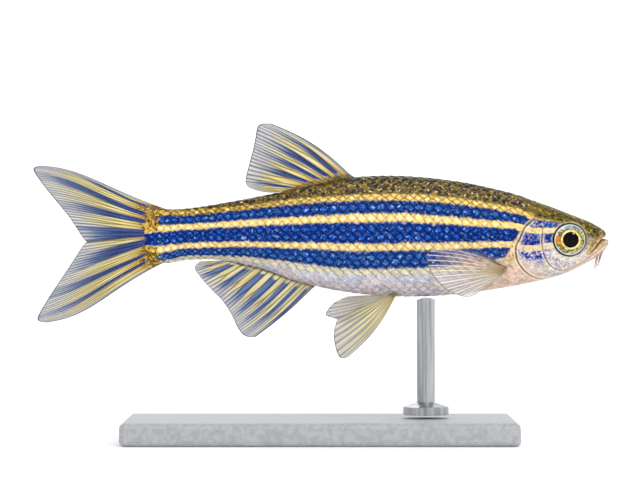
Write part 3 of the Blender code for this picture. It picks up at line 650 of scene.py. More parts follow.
def head_masks(at):
    """Where each of the head's colours lies, with its painted shade and painted highlights."""
    x, z, band = at.x, at.z, seen_band(at.x, at.z)
    in_bars = (1 - smooth(20.5, 21.0, x)) * smooth(0.1, 0.3, band) * (1 - smooth(5.7, 6.3, band))
    in_bars = in_bars * (1 - smooth(19.5, 20.2, x) * smooth(4.9, 5.3, band))
    above_crown = np.where(at.crown_side < 0, 1.0, -1.0) * at.crown
    lower_jaw = smooth(-0.05, 0.05, -at.jaw_side * at.jaw) * smooth(20.4, 21.4, x)
    upper_lip = (at.mouth_side > 0) * (at.mouth + at.lip < 0.62) * smooth(0.7, 0.35, at.mouth)
    lower_lip = (at.mouth_side < 0) * smooth(22.9, 23.5, x) * (1 - lower_jaw) * (z < 0.4)
    front_tint = 0.5 * bump(at.snout, SNOUT_TINT_RADIUS) * (at.mouth_side > 0)
    olive = np.maximum(smooth(-0.25, 0.25, above_crown) * smooth(17.6, 19.0, x), front_tint)
    bare = 1 - olive
    behind = (at.shoulder_side < 0) * (1 - at.on_head) * smooth(0.0, 0.12, at.shoulder)
    behind = behind * smooth(12.5, 14.5, x) * (x < 18.8)
    # Painted shade under the head, where the skin faces down.
    underside_shade = 0.32 * (1 - at.flank) * smooth(18.5, 21.0, x) * (z < -0.3)
    return {
        "olive": olive,
        "snout": smooth(22.5, 23.4, x + 0.35 * z) * (1 - lower_jaw) * bare,
        "silver": at.on_head * (1 - in_bars) * bare,
        "glitter": glitter_mask(at, band, in_bars, bare),
        "spot": at.on_head * (1 - smooth(CHEEK_SPOT_RADIUS - 0.06, CHEEK_SPOT_RADIUS + 0.06, at.cheek_spot)),
        "pink": pink_mask(at, lower_jaw * bare, behind),
        "beige": behind * smooth(-2.8, -1.0, z),
        # Painted shade: the creases' dark lines and the head's underside.
        "crease_shade": np.clip(drawn(at, CREASE_SHADE_MARKS) + underside_shade, 0, 1),
        # Painted highlights beside the creases and round the eye.
        "pale": np.clip(drawn(at, PALE_HIGHLIGHT_MARKS), 0, 1),
        "mouth": bump(at.mouth, 0.09) * (0.4 + 0.6 * at.open_mouth) * at.mouth_run,
        # Painted shade in the nostril.
        "pit_shade": np.clip(1.4 * bump(at.nostril, NOSTRIL_RADIUS), 0, 1),
        "lip": np.maximum(upper_lip, lower_lip) * at.flank,
    }


def head_marks(points, flank):
    """Masks and relief of the body's front part, 0 behind it."""
    ahead = points[..., 0] > MARKS_FROM
    at = head_plan(points[ahead], flank[ahead])

    def spread(values):
        whole = np.zeros(ahead.shape)
        whole[ahead] = values
        return whole

    return {name: spread(values) for name, values in head_masks(at).items()}, spread(head_relief(at))


def grid_quads(rows, columns, wrap=False):
    """Quads of a grid of points, in rows, closed round where wrap is set."""
    i, j = np.meshgrid(np.arange(rows - 1), np.arange(columns if wrap else columns - 1), indexing="ij")
    after = (j + 1) % columns
    here, below = i * columns, (i + 1) * columns
    return np.stack([here + j, here + after, below + after, below + j], -1).reshape(-1, 4)


def tube_faces(rows, columns):
    """Quads round a tube of rings, and triangles to the two points after them that close its ends."""
    here = np.arange(columns)
    after = (here + 1) % columns
    count, last_ring = rows * columns, (rows - 1) * columns
    caps = np.concatenate([
        np.stack([after, here, np.full(columns, count)], -1),
        np.stack([here + last_ring, after + last_ring, np.full(columns, count + 1)], -1),
    ])
    return [grid_quads(rows, columns, wrap=True), caps]


def slab_quads(rows, columns):
    """Quads of a closed slab: two grids, one below the other, and the walls between."""
    top = grid_quads(rows, columns)
    layer = rows * columns
    rim = [(0, j) for j in range(columns)] + [(i, columns - 1) for i in range(1, rows)]
    rim += [(rows - 1, j) for j in range(columns - 2, -1, -1)] + [(i, 0) for i in range(rows - 2, 0, -1)]
    ring = np.array([i * columns + j for i, j in rim])
    after = np.roll(ring, -1)
    walls = np.stack([after, ring, ring + layer, after + layer], -1)
    return np.concatenate([top, top[:, ::-1] + layer, walls])


def volume(points, faces):
    """The signed volume that the faces close in."""
    first = points[faces[:, 0]]
    total = 0.0
    for k in range(1, faces.shape[1] - 1):
        total += np.einsum("ij,ij->i", first, np.cross(points[faces[:, k]], points[faces[:, k + 1]])).sum()
    return total / 6


def add_piece(name, points, faces, material, values, uv=None, nodes=()):
    """A piece of the visual model from points in millimetres, with its point values."""
    if sum(volume(points, f) for f in faces) < 0:
        faces = [f[:, ::-1] for f in faces]
    world = (points + np.array([0, 0, AXIS_HEIGHT])) * MM
    corners = np.concatenate([f.ravel() for f in faces])
    sizes = np.concatenate([np.full(len(f), f.shape[1]) for f in faces])
    mesh = bpy.data.meshes.new(name)
    mesh.vertices.add(len(world))
    mesh.vertices.foreach_set("co", world.astype(np.float32).ravel())
    mesh.loops.add(len(corners))
    mesh.loops.foreach_set("vertex_index", corners.astype(np.int32))
    mesh.polygons.add(len(sizes))
    mesh.polygons.foreach_set("loop_start", (np.cumsum(sizes) - sizes).astype(np.int32))
    mesh.update(calc_edges=True)
    for label, value in values.items():
        layer = mesh.attributes.new(label, "FLOAT", "POINT")
        layer.data.foreach_set("value", np.asarray(value, np.float32).ravel())
    if uv is not None:
        layer = mesh.uv_layers.new(name="OFBake")
        layer.data.foreach_set("uv", uv[corners].astype(np.float32).ravel())
    mesh.shade_smooth()
    mesh.materials.append(material)
    piece = bpy.data.objects.new(name, mesh)
    bpy.context.scene.collection.objects.link(piece)
    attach(piece, "root")
    if nodes:
        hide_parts(*nodes)


class Shader:
    """A Principled material, with short calls for the nodes that paint it."""

    def __init__(self, name, roughness=0.4, settings=()):
        self.material = bpy.data.materials.new(name)
        self.material.use_nodes = True
        self.tree = self.material.node_tree
        self.main = self.tree.nodes["Principled BSDF"]
        self.main.inputs["Roughness"].default_value = roughness
        for label, value in dict(settings).items():
            self.main.inputs[label].default_value = value
        self.place = self.tree.nodes.new("ShaderNodeTexCoord").outputs["Object"]

    def link(self, value, socket):
        """Feeds a socket from another node, a number or a colour's three screen values."""
        if isinstance(value, bpy.types.NodeSocket):
            self.tree.links.new(value, socket)
        elif isinstance(value, tuple):
            socket.default_value = rgb(*value)
        else:
            socket.default_value = value

    def attribute(self, name):
        node = self.tree.nodes.new("ShaderNodeAttribute")
        node.attribute_name = name
        return node.outputs["Fac"]

    def math(self, operation, a, b, clamp=False):
        node = self.tree.nodes.new("ShaderNodeMath")
        node.operation = operation
        node.use_clamp = clamp
        self.link(a, node.inputs[0])
        self.link(b, node.inputs[1])
        return node.outputs[0]

    def times(self, a, b, clamp=False):
        return self.math("MULTIPLY", a, b, clamp)

    def plus(self, a, b):
        return self.math("ADD", a, b)

    def minus(self, a, b, clamp=False):
        return self.math("SUBTRACT", a, b, clamp)

    def noise(self, per_mm, detail=2.0, stretch=(1, 1, 1)):
        scale = self.tree.nodes.new("ShaderNodeMapping")
        self.link(self.place, scale.inputs["Vector"])
        scale.inputs["Scale"].default_value = [s * per_mm / MM for s in stretch]
        node = self.tree.nodes.new("ShaderNodeTexNoise")
        node.inputs["Scale"].default_value = 1.0
        node.inputs["Detail"].default_value = detail
        self.link(scale.outputs[0], node.inputs["Vector"])
        return node.outputs["Fac"]

    def rise(self, value, low, high, top=1.0):
        """0 at low and before it, top at high and past it, and a smooth rise between."""
        node = self.tree.nodes.new("ShaderNodeMapRange")
        node.interpolation_type = "SMOOTHSTEP"
        self.link(value, node.inputs["Value"])
        node.inputs["From Min"].default_value = low
        node.inputs["From Max"].default_value = high
        node.inputs["To Max"].default_value = top
        return node.outputs[0]

    def speckle(self, per_mm, detail, low, high, top=1.0):
        return self.rise(self.noise(per_mm, detail), low, high, top)

    def mix(self, a, b, factor, blend="MIX"):
        node = self.tree.nodes.new("ShaderNodeMix")
        node.data_type = "RGBA"
        node.blend_type = blend
        self.link(factor, node.inputs["Factor"])
        self.link(a, node.inputs["A"])
        self.link(b, node.inputs["B"])
        return next(o for o in node.outputs if o.type == "RGBA")

    def flecked(self, colour, flecks):
        """A colour with flecks over it, each a colour and its speckle."""
        for fleck, *speckle in flecks:
            colour = self.mix(colour, fleck, self.speckle(*speckle))
        return colour

    def ramp(self, value, stops):
        node = self.tree.nodes.new("ShaderNodeValToRGB")
        elements = node.color_ramp.elements
        while len(elements) > 1:
            elements.remove(elements[-1])
        elements[0].position, elements[0].color = stops[0]
        for place, colour in stops[1:]:
            elements.new(place).color = colour
        self.link(value, node.inputs["Fac"])
        return node.outputs["Color"]

    def bumps(self, height, distance):
        node = self.tree.nodes.new("ShaderNodeBump")
        node.inputs["Distance"].default_value = distance * MM
        node.inputs["Strength"].default_value = 1.0
        self.link(height, node.inputs["Height"])
        self.link(node.outputs[0], self.main.inputs["Normal"])

    def finish(self, colour, roughness=None, alpha=None):
        self.link(colour, self.main.inputs["Base Color"])
        if roughness is not None:
            self.link(roughness, self.main.inputs["Roughness"])
        if alpha is not None:
            self.link(alpha, self.main.inputs["Alpha"])
        return self.material


def band_stops(column):
    """Ramp stops for one colour column of the bands, each nearly sharp at its edges."""
    stops, start, span = [], BAND_LOW, BAND_HIGH - BAND_LOW
    for row in BANDS:
        end, colour = row[0], rgb(*row[column])
        stops.append(((start + BAND_BLUR - BAND_LOW) / span, colour))
        stops.append(((end - BAND_BLUR - BAND_LOW) / span, colour))
        start = end
    return stops


def stripe_colour(shader):
    """The stripes by the band value, with the scales' centres and edges, and painted highlights: lighter
    centres on the stripes, glints and sparkles.
    """
    wobble = shader.times(shader.minus(shader.noise(2.6, 3), 0.5), 0.30)
    band = shader.plus(shader.attribute("band"), wobble)
    place = shader.math("DIVIDE", shader.minus(band, BAND_LOW), BAND_HIGH - BAND_LOW)
    own, middle, edge, glint = (shader.ramp(place, band_stops(column)) for column in (1, 2, 3, 4))
    centre = shader.attribute("centre")
    # The scales' middles: dark spots on the back, and on the stripes a lighter painted highlight, broken up
    # by noise.
    centre_spot_and_highlight = shader.times(centre, shader.plus(shader.speckle(4.5, 4, 0.38, 0.58, 0.7), 0.3), clamp=True)
    colour = shader.mix(own, middle, centre_spot_and_highlight)
    rim = shader.times(shader.attribute("rim"), shader.speckle(3.2, 2, 0.25, 0.55), clamp=True)
    colour = shader.mix(colour, edge, rim)
    # Painted highlights: glints at the scales' middles and sparkles over the stripes.
    colour = shader.mix(colour, glint, shader.times(centre, shader.speckle(4.0, 5, 0.57, 0.66, 0.9)))
    painted_spark = shader.times(shader.attribute("painted_sparkle"), shader.speckle(6.0, 5, 0.62, 0.70, 0.3))
    colour = shader.mix(colour, glint, painted_spark)
    pearl = shader.rise(band, 6.6, 7.2)
    blotched = shader.minus(shader.rise(band, -2.4, -1.4), shader.rise(band, -0.1, 0.1), clamp=True)
    shaded = shader.minus(1.0, shader.rise(band, -0.4, 0.2))
    patches = (
        (pearl, (152, 156, 190), (1.9, 4, 0.50, 0.64, 0.6)),
        (pearl, (220, 196, 190), (1.4, 4, 0.48, 0.36, 0.5)),
        (blotched, (160, 130, 56), (2.3, 4, 0.52, 0.62, 0.6)),
        (shaded, (14, 26, 46), (2.0, 3, 0.52, 0.40, 0.65)),
    )
    for mask, patch, speckle in patches:
        colour = shader.mix(colour, patch, shader.times(mask, shader.speckle(*speckle)))
    brown = shader.times(shader.attribute("rear"), shader.speckle(3.4, 4, 0.64, 0.40))
    colour = shader.mix(colour, (166, 152, 84), brown, "MULTIPLY")
    tone = shader.plus(shader.times(shader.attribute("tone"), 0.22), shader.speckle(7.0, 5, 0.3, 0.7, 0.34))
    return shader.mix(colour, shader.plus(tone, 0.76), 1.0, "MULTIPLY")


def head_colour(shader, colour):
    """The head's, throat's and shoulder's colours laid over the stripes, with painted shade in the creases,
    under the head and in the nostril, and painted highlights beside the creases and as glints.
    """
    for mask, strength, ground, flecks in HEAD_LAYERS:
        held = shader.speckle(*strength) if isinstance(strength, tuple) else strength
        shown = shader.times(shader.attribute(mask), held)
        colour = shader.mix(colour, shader.flecked(ground, flecks), shown)
    return colour


def skin_material():
    shader = Shader("fish_skin", settings={"Specular IOR Level": 0.07})
    colour = head_colour(shader, stripe_colour(shader))
    torn = shader.times(shader.minus(shader.noise(2.2, 4), 0.5), 2.4)
    knots = shader.rise(shader.plus(shader.attribute("gold"), torn), 0.42, 0.58)
    colour = shader.mix(colour, shader.flecked(KNOT_GROUND, KNOT_FLECKS), knots)
    shader.bumps(shader.noise(6.0, 5), 0.03)
    return shader.finish(colour, roughness=shader.speckle(3.0, 2, 0.2, 0.8, 0.5))


def fin_material(name, clear_colour):
    """See-through membrane with coloured rays and bands."""
    shader = Shader(name, settings={"Specular IOR Level": 0.14})
    mottle, streak, root = shader.noise(1.6, 4), shader.attribute("streak"), shader.attribute("root")
    clear = shader.mix(clear_colour, (146, 150, 172), shader.rise(streak, 0.3, 0.9, 0.8))
    yellow = shader.mix((232, 222, 156), (206, 184, 104), shader.rise(streak, 0.2, 0.8))
    yellow = shader.mix(yellow, (202, 164, 60), shader.rise(root, 0.70, 1.0, 0.85))
    blue = shader.mix((92, 116, 160), (12, 44, 110), shader.rise(root, 0.1, 0.75))
    blue = shader.mix(blue, (6, 44, 126), shader.rise(root, 0.88, 1.0))
    blue = shader.mix(blue, (66, 98, 154), shader.rise(streak, 0.5, 1.0, 0.75))
    line = shader.mix((92, 94, 102), (82, 62, 22), shader.attribute("yellow"))
    line = shader.mix(line, (10, 28, 78), shader.attribute("blue"))
    layers = {
        "yellow": yellow,
        "blue": blue,
        "light": (246, 242, 222),
        "dark": line,
        "amber": shader.mix((70, 54, 14), (146, 114, 34), shader.rise(mottle, 0.4, 0.6)),
        "knot": shader.flecked(KNOT_GROUND, KNOT_FLECKS),
        "hem": (64, 68, 80),
    }
    colour = clear
    for label, layer in layers.items():
        colour = shader.mix(colour, layer, shader.attribute(label))
    roughness = shader.rise(mottle, 0.0, 1.0, 0.7)
    return shader.finish(colour, roughness, shader.attribute("cover"))


def skin_rings():
    """Places of the skin's rings: close at the snout and head, wider along the trunk."""
    turn = np.radians(np.linspace(2.0, 89.3, TIP_RINGS))
    tip = SNOUT_TIP - SNOUT_ROUNDING + SNOUT_ROUNDING * np.sin(turn)
    return np.concatenate([*(np.linspace(*stretch) for stretch in RING_STRETCHES), tip])


def rear_tint(x, band):
    """How far the gold under the back turns to brown towards the tail."""
    return smooth(4.0, -9.0, x) * (1 - smooth(0.85, 1.15, band))


def tail_knots(x, z):
    """The golden knots above and below the last of the middle blue stripe."""
    return smooth(-13.0, -15.0, x) * smooth(0.35, 0.85, np.abs(z - 0.08)) * 1.1 - 0.12


def bake_place(x, angle):
    """A point's place on the unwrap of the skin's own shape."""
    return (x - TAIL_END) / (SNOUT_TIP - TAIL_END) * 0.98 + 0.01, angle / 361


def shape_mouth(points):
    """Lifts and blunts the upper lip, and brings the jaw's tip forward."""
    x, z = points[..., 0], points[..., 2]
    upper_lip = smooth(24.2, 24.7, x) * smooth(0.05, 0.3, z)
    z += LIP_RISE * upper_lip
    blunt = smooth(24.3, 24.7, x) * smooth(0.12, 0.40, z) * smooth(0.95, 0.5, z)
    x += LIP_PUSH * blunt * smooth(0.8, 0.25, np.abs(points[..., 1]))
    x[upper_lip > 0.5] = np.minimum(x, LIP_FRONT)[upper_lip > 0.5]
    jaw_tip = smooth(24.4, 24.8, x) * smooth(0.10, -0.10, z)
    x += JAW_PUSH * jaw_tip * smooth(-0.85, -0.45, z)


def sink_sockets(points, eye, flank):
    """Sinks the skin behind each eye and draws it to the eye's rim, given the distances to the centre."""
    rim = EYE_Y - (points[..., 0] - EYE_AT[0]) * math.tan(math.radians(EYE_TURN)) - 0.03
    reach = np.abs(points[..., 1])
    around = rim + (reach - rim) * smooth(EYE_RADIUS, EYE_RADIUS + SOCKET_BLEND, eye)
    inside = rim - SOCKET_DEPTH * smooth(EYE_RADIUS, EYE_RADIUS - 0.1, eye)
    near = (eye < EYE_RADIUS + SOCKET_BLEND) & (flank > 0.2)
    sunk = np.sign(points[..., 1]) * np.where(eye < EYE_RADIUS, inside, around)
    points[..., 1] = np.where(near, sunk, points[..., 1])


def make_skin(material):
    """One skin from the tail's end to the snout in place of the solids of flesh."""
    x, angle = np.meshgrid(skin_rings(), np.arange(SKIN_SIDES) * 360 / SKIN_SIDES, indexing="ij")
    points, out = surface(x, angle), normals(x, angle)
    flank = smooth(0.15, 0.55, np.abs(out[..., 1]))
    marks, relief = head_marks(points, flank)
    depth = SKIN_DEPTH * (1 - smooth(18.0, 20.0, x) * HEAD_RISE)
    shaped = points + out * (relief - depth)[..., None]
    shape_mouth(shaped)
    sink_sockets(shaped, np.hypot(points[..., 0] - EYE_AT[0], points[..., 2] - EYE_AT[1]), flank)
    shaped = np.concatenate([shaped.reshape(-1, 3), [shaped[0].mean(0), shaped[-1].mean(0)]])
    band = BODY.at(BODY.band, x, angle)
    # A lattice of scale middles and edges on the bare skin; the lighter middles on the stripes are painted
    # highlight.
    lattice = np.cos(x * 2 * np.pi / SCALE_PITCH) * np.cos(band * 2 * np.pi)
    values = {
        "band": band,
        "centre": smooth(0.1, 0.9, lattice) * 0.6,
        "rim": smooth(0.1, 0.9, -lattice) * 0.4,
        "tone": np.full(x.shape, 0.3),
        "rear": rear_tint(x, band),
        # Where painted highlight sparkles show on the skin.
        "painted_sparkle": smooth(0.7, 1.2, band) * smooth(19.5, 17.0, x),
        "gold": tail_knots(x, points[..., 2]),
        **marks,
    }
    values = {k: np.concatenate([v.ravel(), [v[0, 0], v[-1, -1]]]) for k, v in values.items()}
    uv = np.stack(bake_place(x, angle), -1).reshape(-1, 2)
    uv = np.concatenate([uv, [uv[0], uv[-1]]])
    nodes = ("head", "lower_jaw", "gill_cover_left", "gill_cover_right", "trunk", "tail")
    add_piece("skin", shaped, tube_faces(*x.shape), material, values, uv, nodes)


def scale_roots():
    """Each scale's root on the left side: place, angle, pitch, the row's band and whether it is strong."""
    lowest, highest, last = BODY.band.min(), BODY.band.max(), FLANK_ROWS[-1]
    back = [-(k + 1) * ROW_STEP / BACK_BAND for k in range(int(-lowest * BACK_BAND / ROW_STEP))]
    rows_below = int((highest - last) * BELLY_BAND / ROW_STEP)
    belly = [last + (k + 1) * ROW_STEP / BELLY_BAND for k in range(rows_below)]
    columns, x = [], FIRST_SCALE
    while x > TAIL_END + 0.4:
        columns.append(x)
        x -= TAIL_PITCH + (SCALE_PITCH - TAIL_PITCH) * float(smooth(-13.0, 2.0, x))
    roots = []
    for number, band in enumerate([*sorted(back), *FLANK_ROWS, *belly]):
        angles = BODY.row(band)
        own = band + EDGE_ROW_SHIFTS.get(band, 0)
        shift = 0.5 * (number % 2)
        for here, after in zip(columns, columns[1:]):
            x = here + (after - here) * shift
            angle = np.interp(x, BODY.x, angles)
            if not np.isnan(angle):
                roots.append((x, angle, here - after, own, band in STRONG_ROWS))
    return np.array(roots)


def make_scales(material):
    """Thin overlapping scales in rows along the stripes, in three pieces on each side."""
    rng = np.random.default_rng(SEED)
    roots = scale_roots()
    height = surface(roots[:, 0], roots[:, 1])[:, 2]
    limit = np.interp(height, *np.array(SCALES_FRONT).T)
    roots, limit = roots[roots[:, 0] < limit], limit[roots[:, 0] < limit]
    size = roots[:, 2] / SCALE_PITCH * smooth(-0.1, 1.6, limit - roots[:, 0]) ** 0.5
    quads, count = slab_quads(SCALE_GRID, SCALE_GRID), 2 * SCALE_GRID**2
    for side, word in ((1, "left"), (-1, "right")):
        tone = rng.random(len(roots))
        skew = rng.normal(0, 0.05, len(roots))
        order = np.argsort(roots[:, 1], kind="stable")
        for part, chosen in zip(("upper", "middle", "lower"), np.array_split(order, 3)):
            points, values, uv = scale_meshes(roots[chosen], size[chosen], tone[chosen], skew[chosen], side)
            faces = (quads[None] + (np.arange(len(chosen)) * count)[:, None, None]).reshape(-1, 4)
            add_piece(f"scales_{part}_{word}", points, [faces], material, values, uv)


def scale_meshes(roots, size, tone, skew, side):
    """Points, values and bake places of many scales, each a thin curved slab."""
    a, b = np.meshgrid(np.linspace(0, 1, SCALE_GRID), np.linspace(-1, 1, SCALE_GRID), indexing="ij")
    a, b = a.ravel()[None], b.ravel()[None]
    x0, angle0, own_band, strong = (roots[:, k : k + 1] for k in (0, 1, 3, 4))
    size, tone, skew = size[:, None], tone[:, None], skew[:, None]
    length = SCALE_PITCH * SCALE_OVERLAP * size
    half = SCALE_HALF_HEIGHT * size * np.clip(row_room(x0, angle0), 0.55, 1.05)
    x = x0 - a * (1 - 0.34 * np.abs(b) ** 1.7) * length + 0.35 * length
    across = b * half * (0.86 + 0.28 * a - 0.32 * a**2) + skew * a * size
    per_degree = (BODY.at(BODY.arc, x0, angle0 + 1) - BODY.at(BODY.arc, x0, angle0 - 1)) / 2
    angle = angle0 + across / np.maximum(per_degree, 0.02) + row_slope(x0, angle0) * (x - x0)
    points, out = surface(x, angle), normals(x, angle)
    lift = (SCALE_SINK + (SCALE_LIFT - SCALE_SINK) * a**0.85 - SCALE_CURL * b**2) * size - SKIN_DEPTH * 0.55
    both = np.stack([points + out * lift[..., None], points + out * (lift - SCALE_THICKNESS)[..., None]], 1)
    both[..., 1] *= side
    values = scale_values(points, x, angle, a, b, own_band, strong)
    values["tone"] = tone + 0 * x
    values = {k: np.stack([v, v], 1).ravel() for k, v in values.items()}
    u, v = bake_place(x0, np.where(side > 0, angle0, 360 - angle0))
    uv = np.stack([u + (a - 0.5) * SCALE_PATCH, v + b * SCALE_PATCH / 2], -1)
    return both.reshape(-1, 3), values, np.stack([uv, uv], 1).reshape(-1, 2)


def scale_values(points, x, angle, a, b, own_band, strong):
    """Point values of the scales, with a along each and b across it."""
    true_band = BODY.at(BODY.band, x, angle)
    on_back = smooth(0.2, -0.6, own_band)
    # The middle of each scale: a dark spot on the back, a lighter painted highlight on the stripes.
    middle = bump(np.hypot((a - 0.68) / (0.22 + 0.05 * on_back), b / (0.44 + 0.06 * on_back)), 1.0)
    middle = middle * (0.45 + 0.55 * np.maximum(strong, on_back)) * (1 + 0.5 * on_back)
    plain, _ = head_marks(points, np.ones(x.shape))
    shown = {"olive": 0.6, "pink": 0.85, "beige": 0.9}
    return {
        **{label: shown.get(label, 0) * mask for label, mask in plain.items()},
        "band": true_band * (1 - ROW_MIX) + own_band * ROW_MIX,
        "centre": np.clip(middle + 0 * x, 0, 1),
        "rim": smooth(0.78, 0.96, np.maximum(np.abs(b) ** 1.5 * 0.9, a)) + 0 * x,
        "rear": rear_tint(x, true_band),
        # Where painted highlight sparkles show on the scales.
        "painted_sparkle": smooth(0.7, 1.2, true_band),
        "gold": tail_knots(x, points[..., 2]),
    }


def row_room(x, angle):
    """How much room a row has at a place, beside the room in mid-body."""
    step = 4.0
    bands = BODY.at(BODY.band, x, angle + step) - BODY.at(BODY.band, x, angle - step)
    arcs = BODY.at(BODY.arc, x, angle + step) - BODY.at(BODY.arc, x, angle - step)
    return arcs / np.maximum(bands, 0.01) / ROW_ROOM


def row_slope(x, angle):
    """Degrees that a row turns round the body for each millimetre along it."""
    ahead = BODY.at(BODY.band, x + 0.5, angle) - BODY.at(BODY.band, x - 0.5, angle)
    around = BODY.at(BODY.band, x, angle + 1) - BODY.at(BODY.band, x, angle - 1)
    return -ahead / np.maximum(around / 2, 0.005)


def eye_material():
    """Pupil, gold ring, patched iris, pale ring and dark rim."""
    shader = Shader("fish_eye", roughness=0.05, settings={"Specular IOR Level": 0.09})
    radius, front, high = (shader.attribute(name) for name in ("radius", "front", "high"))
    iris = shader.mix((98, 106, 62), (178, 164, 94), shader.speckle(1.5, 3, 0.4, 0.6))
    for patch, ahead, up, start, full, strength in IRIS_PATCHES:
        place = shader.plus(shader.times(front, ahead), shader.times(high, up))
        iris = shader.mix(iris, patch, shader.rise(place, start, full, strength))
    iris = shader.flecked(iris, IRIS_FLECKS)
    ring = shader.mix((222, 174, 70), (248, 230, 160), shader.speckle(5.0, 4, 0.42, 0.56))
    colour = shader.mix((2, 2, 4), ring, shader.rise(radius, PUPIL_RADIUS - 0.015, PUPIL_RADIUS + 0.015))
    colour = shader.mix(colour, iris, shader.rise(radius, GOLD_RING_RADIUS - 0.04, GOLD_RING_RADIUS + 0.03))
    colour = shader.mix(colour, (190, 198, 190), shader.rise(radius, IRIS_RADIUS - 0.03, IRIS_RADIUS + 0.02))
    rim = shader.rise(radius, PALE_RING_RADIUS - 0.02, PALE_RING_RADIUS + 0.02)
    return shader.finish(shader.mix(colour, (34, 36, 36), rim))


def make_eye(material, side, word):
    """A shallow dome with its rim in the socket, closed behind."""
    rings, spokes = 46, 96
    radius = EYE_RADIUS * np.sin(np.linspace(0.012, 1, rings) * np.pi / 2)
    r, t = np.meshgrid(radius, np.arange(spokes) * 2 * np.pi / spokes, indexing="ij")
    fall = (r / EYE_RADIUS) ** 2
    dome = EYE_BULGE * (np.sqrt(np.clip(1.02 - fall, 0, 1)) * 0.6 + (1 - fall) * 0.4)
    bowl = -EYE_BACK * (1 - fall) - 0.02
    front, rear = (np.stack([r * np.cos(t), depth, r * np.sin(t)], -1) for depth in (dome, bowl))
    ends = [[0, dome.max(), 0], [0, -EYE_BACK - 0.02, 0]]
    local = np.concatenate([front.reshape(-1, 3), rear[::-1].reshape(-1, 3), ends])
    lean = math.radians(EYE_TURN)
    points = np.stack([
        EYE_AT[0] + local[:, 0] * EYE_STRETCH * math.cos(lean) + local[:, 1] * math.sin(lean),
        side * (EYE_Y + local[:, 1] * math.cos(lean) - local[:, 0] * math.sin(lean)),
        EYE_AT[1] + local[:, 2],
    ], -1)
    values = {
        "radius": np.hypot(local[:, 0], local[:, 2]),
        "front": local[:, 0] / EYE_RADIUS,
        "high": local[:, 2] / EYE_RADIUS,
    }
    faces = tube_faces(2 * rings, spokes)
    add_piece(f"eyeball_{word}", points, faces, material, values, nodes=(f"eye_{word}",))


def ray_pattern(u, v, count, fork):
    """1 on the rays and 0 between them, where each ray forks on its way to the margin."""
    place = np.mod(u * count, 1.0) - 0.5
    apart = 0.25 * smooth(fork, fork + FORK_LENGTH, v)
    return bump(np.abs(np.abs(place) - apart), 0.15 - 0.05 * v)


def band_mask(u, v, bands, streak):
    """1 in the bands, whose ends are ragged by the streaks."""
    total = np.zeros(u.shape)
    for root, tip, width, fade in bands:
        centre = root + (tip - root) * v
        inside = 1 - smooth(0.36, 0.60, np.abs(u - centre) / width + 0.16 * (streak - 0.5))
        reach = v + 0.5 * (streak - 0.5)
        total = np.maximum(total, inside * (1 - smooth(fade - 0.35, fade + 0.2, reach)))
    return total


def fin_points(rays, u, v, skew, shape):
    """Points of a fin's middle sheet, with u across the rays and v along them."""
    tables = [Curve([(k, ray[c]) for k, ray in enumerate(rays)]) for c in range(5)]
    x0, z0, x1, z1, bow = (table(u * (len(rays) - 1)) for table in tables)
    dx, dz = x1 - x0, z1 - z0
    reach = bow * np.sin(np.pi * np.clip(v, 0, 1) ** skew) / np.hypot(dx, dz)
    return shape(x0 + dx * v + dz * reach, z0 + dz * v - dx * reach, x0, v, u)


def fin_grid(count, sink):
    """Places across and along a fin, which starts inside the body."""
    steps = np.unique(np.concatenate([np.linspace(-sink, 1, FIN_STEPS), FIN_MARGIN_STEPS]))
    v, u = np.meshgrid(steps, np.linspace(0, 1, count * STEPS_PER_RAY + 1), indexing="ij")
    trim = sum(1 - np.sqrt(1 - np.clip(1 - edge / CORNER_WIDTH, 0, 1) ** 2) for edge in (u, 1 - u))
    return u, v, CORNER_TRIM * trim


def streaks(u, reach, count):
    """Random lengthwise streaks, which change slowly from the root to the margin."""
    knots = np.random.default_rng(count).random((STREAK_ROWS, count * STREAKS_PER_RAY + 1))
    lanes = np.stack([np.interp(u[0], np.linspace(0, 1, knots.shape[1]), knot) for knot in knots])
    place = reach[:, 0] * (STREAK_ROWS - 1.001)
    low, share = place.astype(int), (place - place.astype(int))[:, None]
    return lanes[low] * (1 - share) + lanes[low + 1] * share


def make_fin(name, node, rays, count, paint, material, shape, skew=1.0, sink=0.07, fork=0.2):
    """A thin fin over its solid, with ridged, forking rays."""
    u, v, trim = fin_grid(count, sink)
    rows, columns = u.shape
    middle = fin_points(rays, u, v * (1 - trim), skew, shape)
    out = np.cross(np.gradient(middle, axis=0), np.gradient(middle, axis=1))
    out /= np.maximum(np.linalg.norm(out, axis=-1, keepdims=True), 1e-12)
    reach = np.clip(v, 0, 1)
    ray = ray_pattern(u, reach, count, fork)
    half = MEMBRANE_ROOT + (MEMBRANE_EDGE - MEMBRANE_ROOT) * reach + RAY_HEIGHT * ray * (1 - 0.65 * reach)
    edge = np.minimum(np.minimum(u, 1 - u) * columns / 3, (1 - v) * FIN_STEPS / 2)
    offset = out * (half * (0.35 + 0.65 * np.clip(edge, 0, 1)))[..., None]
    points = np.concatenate([(middle + offset).reshape(-1, 3), (middle - offset).reshape(-1, 3)])
    streak = streaks(u, reach, count)
    values = {label: 0 * u for label in ("blue", "yellow", "light", "dark", "amber", "hem", "knot")}
    values.update({"streak": streak, "root": 1 - reach})
    values.update(paint(u, v, ray, streak))
    values["cover"] = 1 - np.sqrt(1 - np.clip(values["cover"], 0, 0.985))
    values = {k: np.tile(np.clip(value, 0, 1).ravel(), 2) for k, value in values.items()}
    add_piece(name, points, [slab_quads(rows, columns)], material, values, nodes=(node,))


def hem(u, v):
    """A fine dark line round the margin."""
    return np.maximum(smooth(0.984, 0.992, v), np.maximum(smooth(0.012, 0.006, u), smooth(0.988, 0.994, u)))


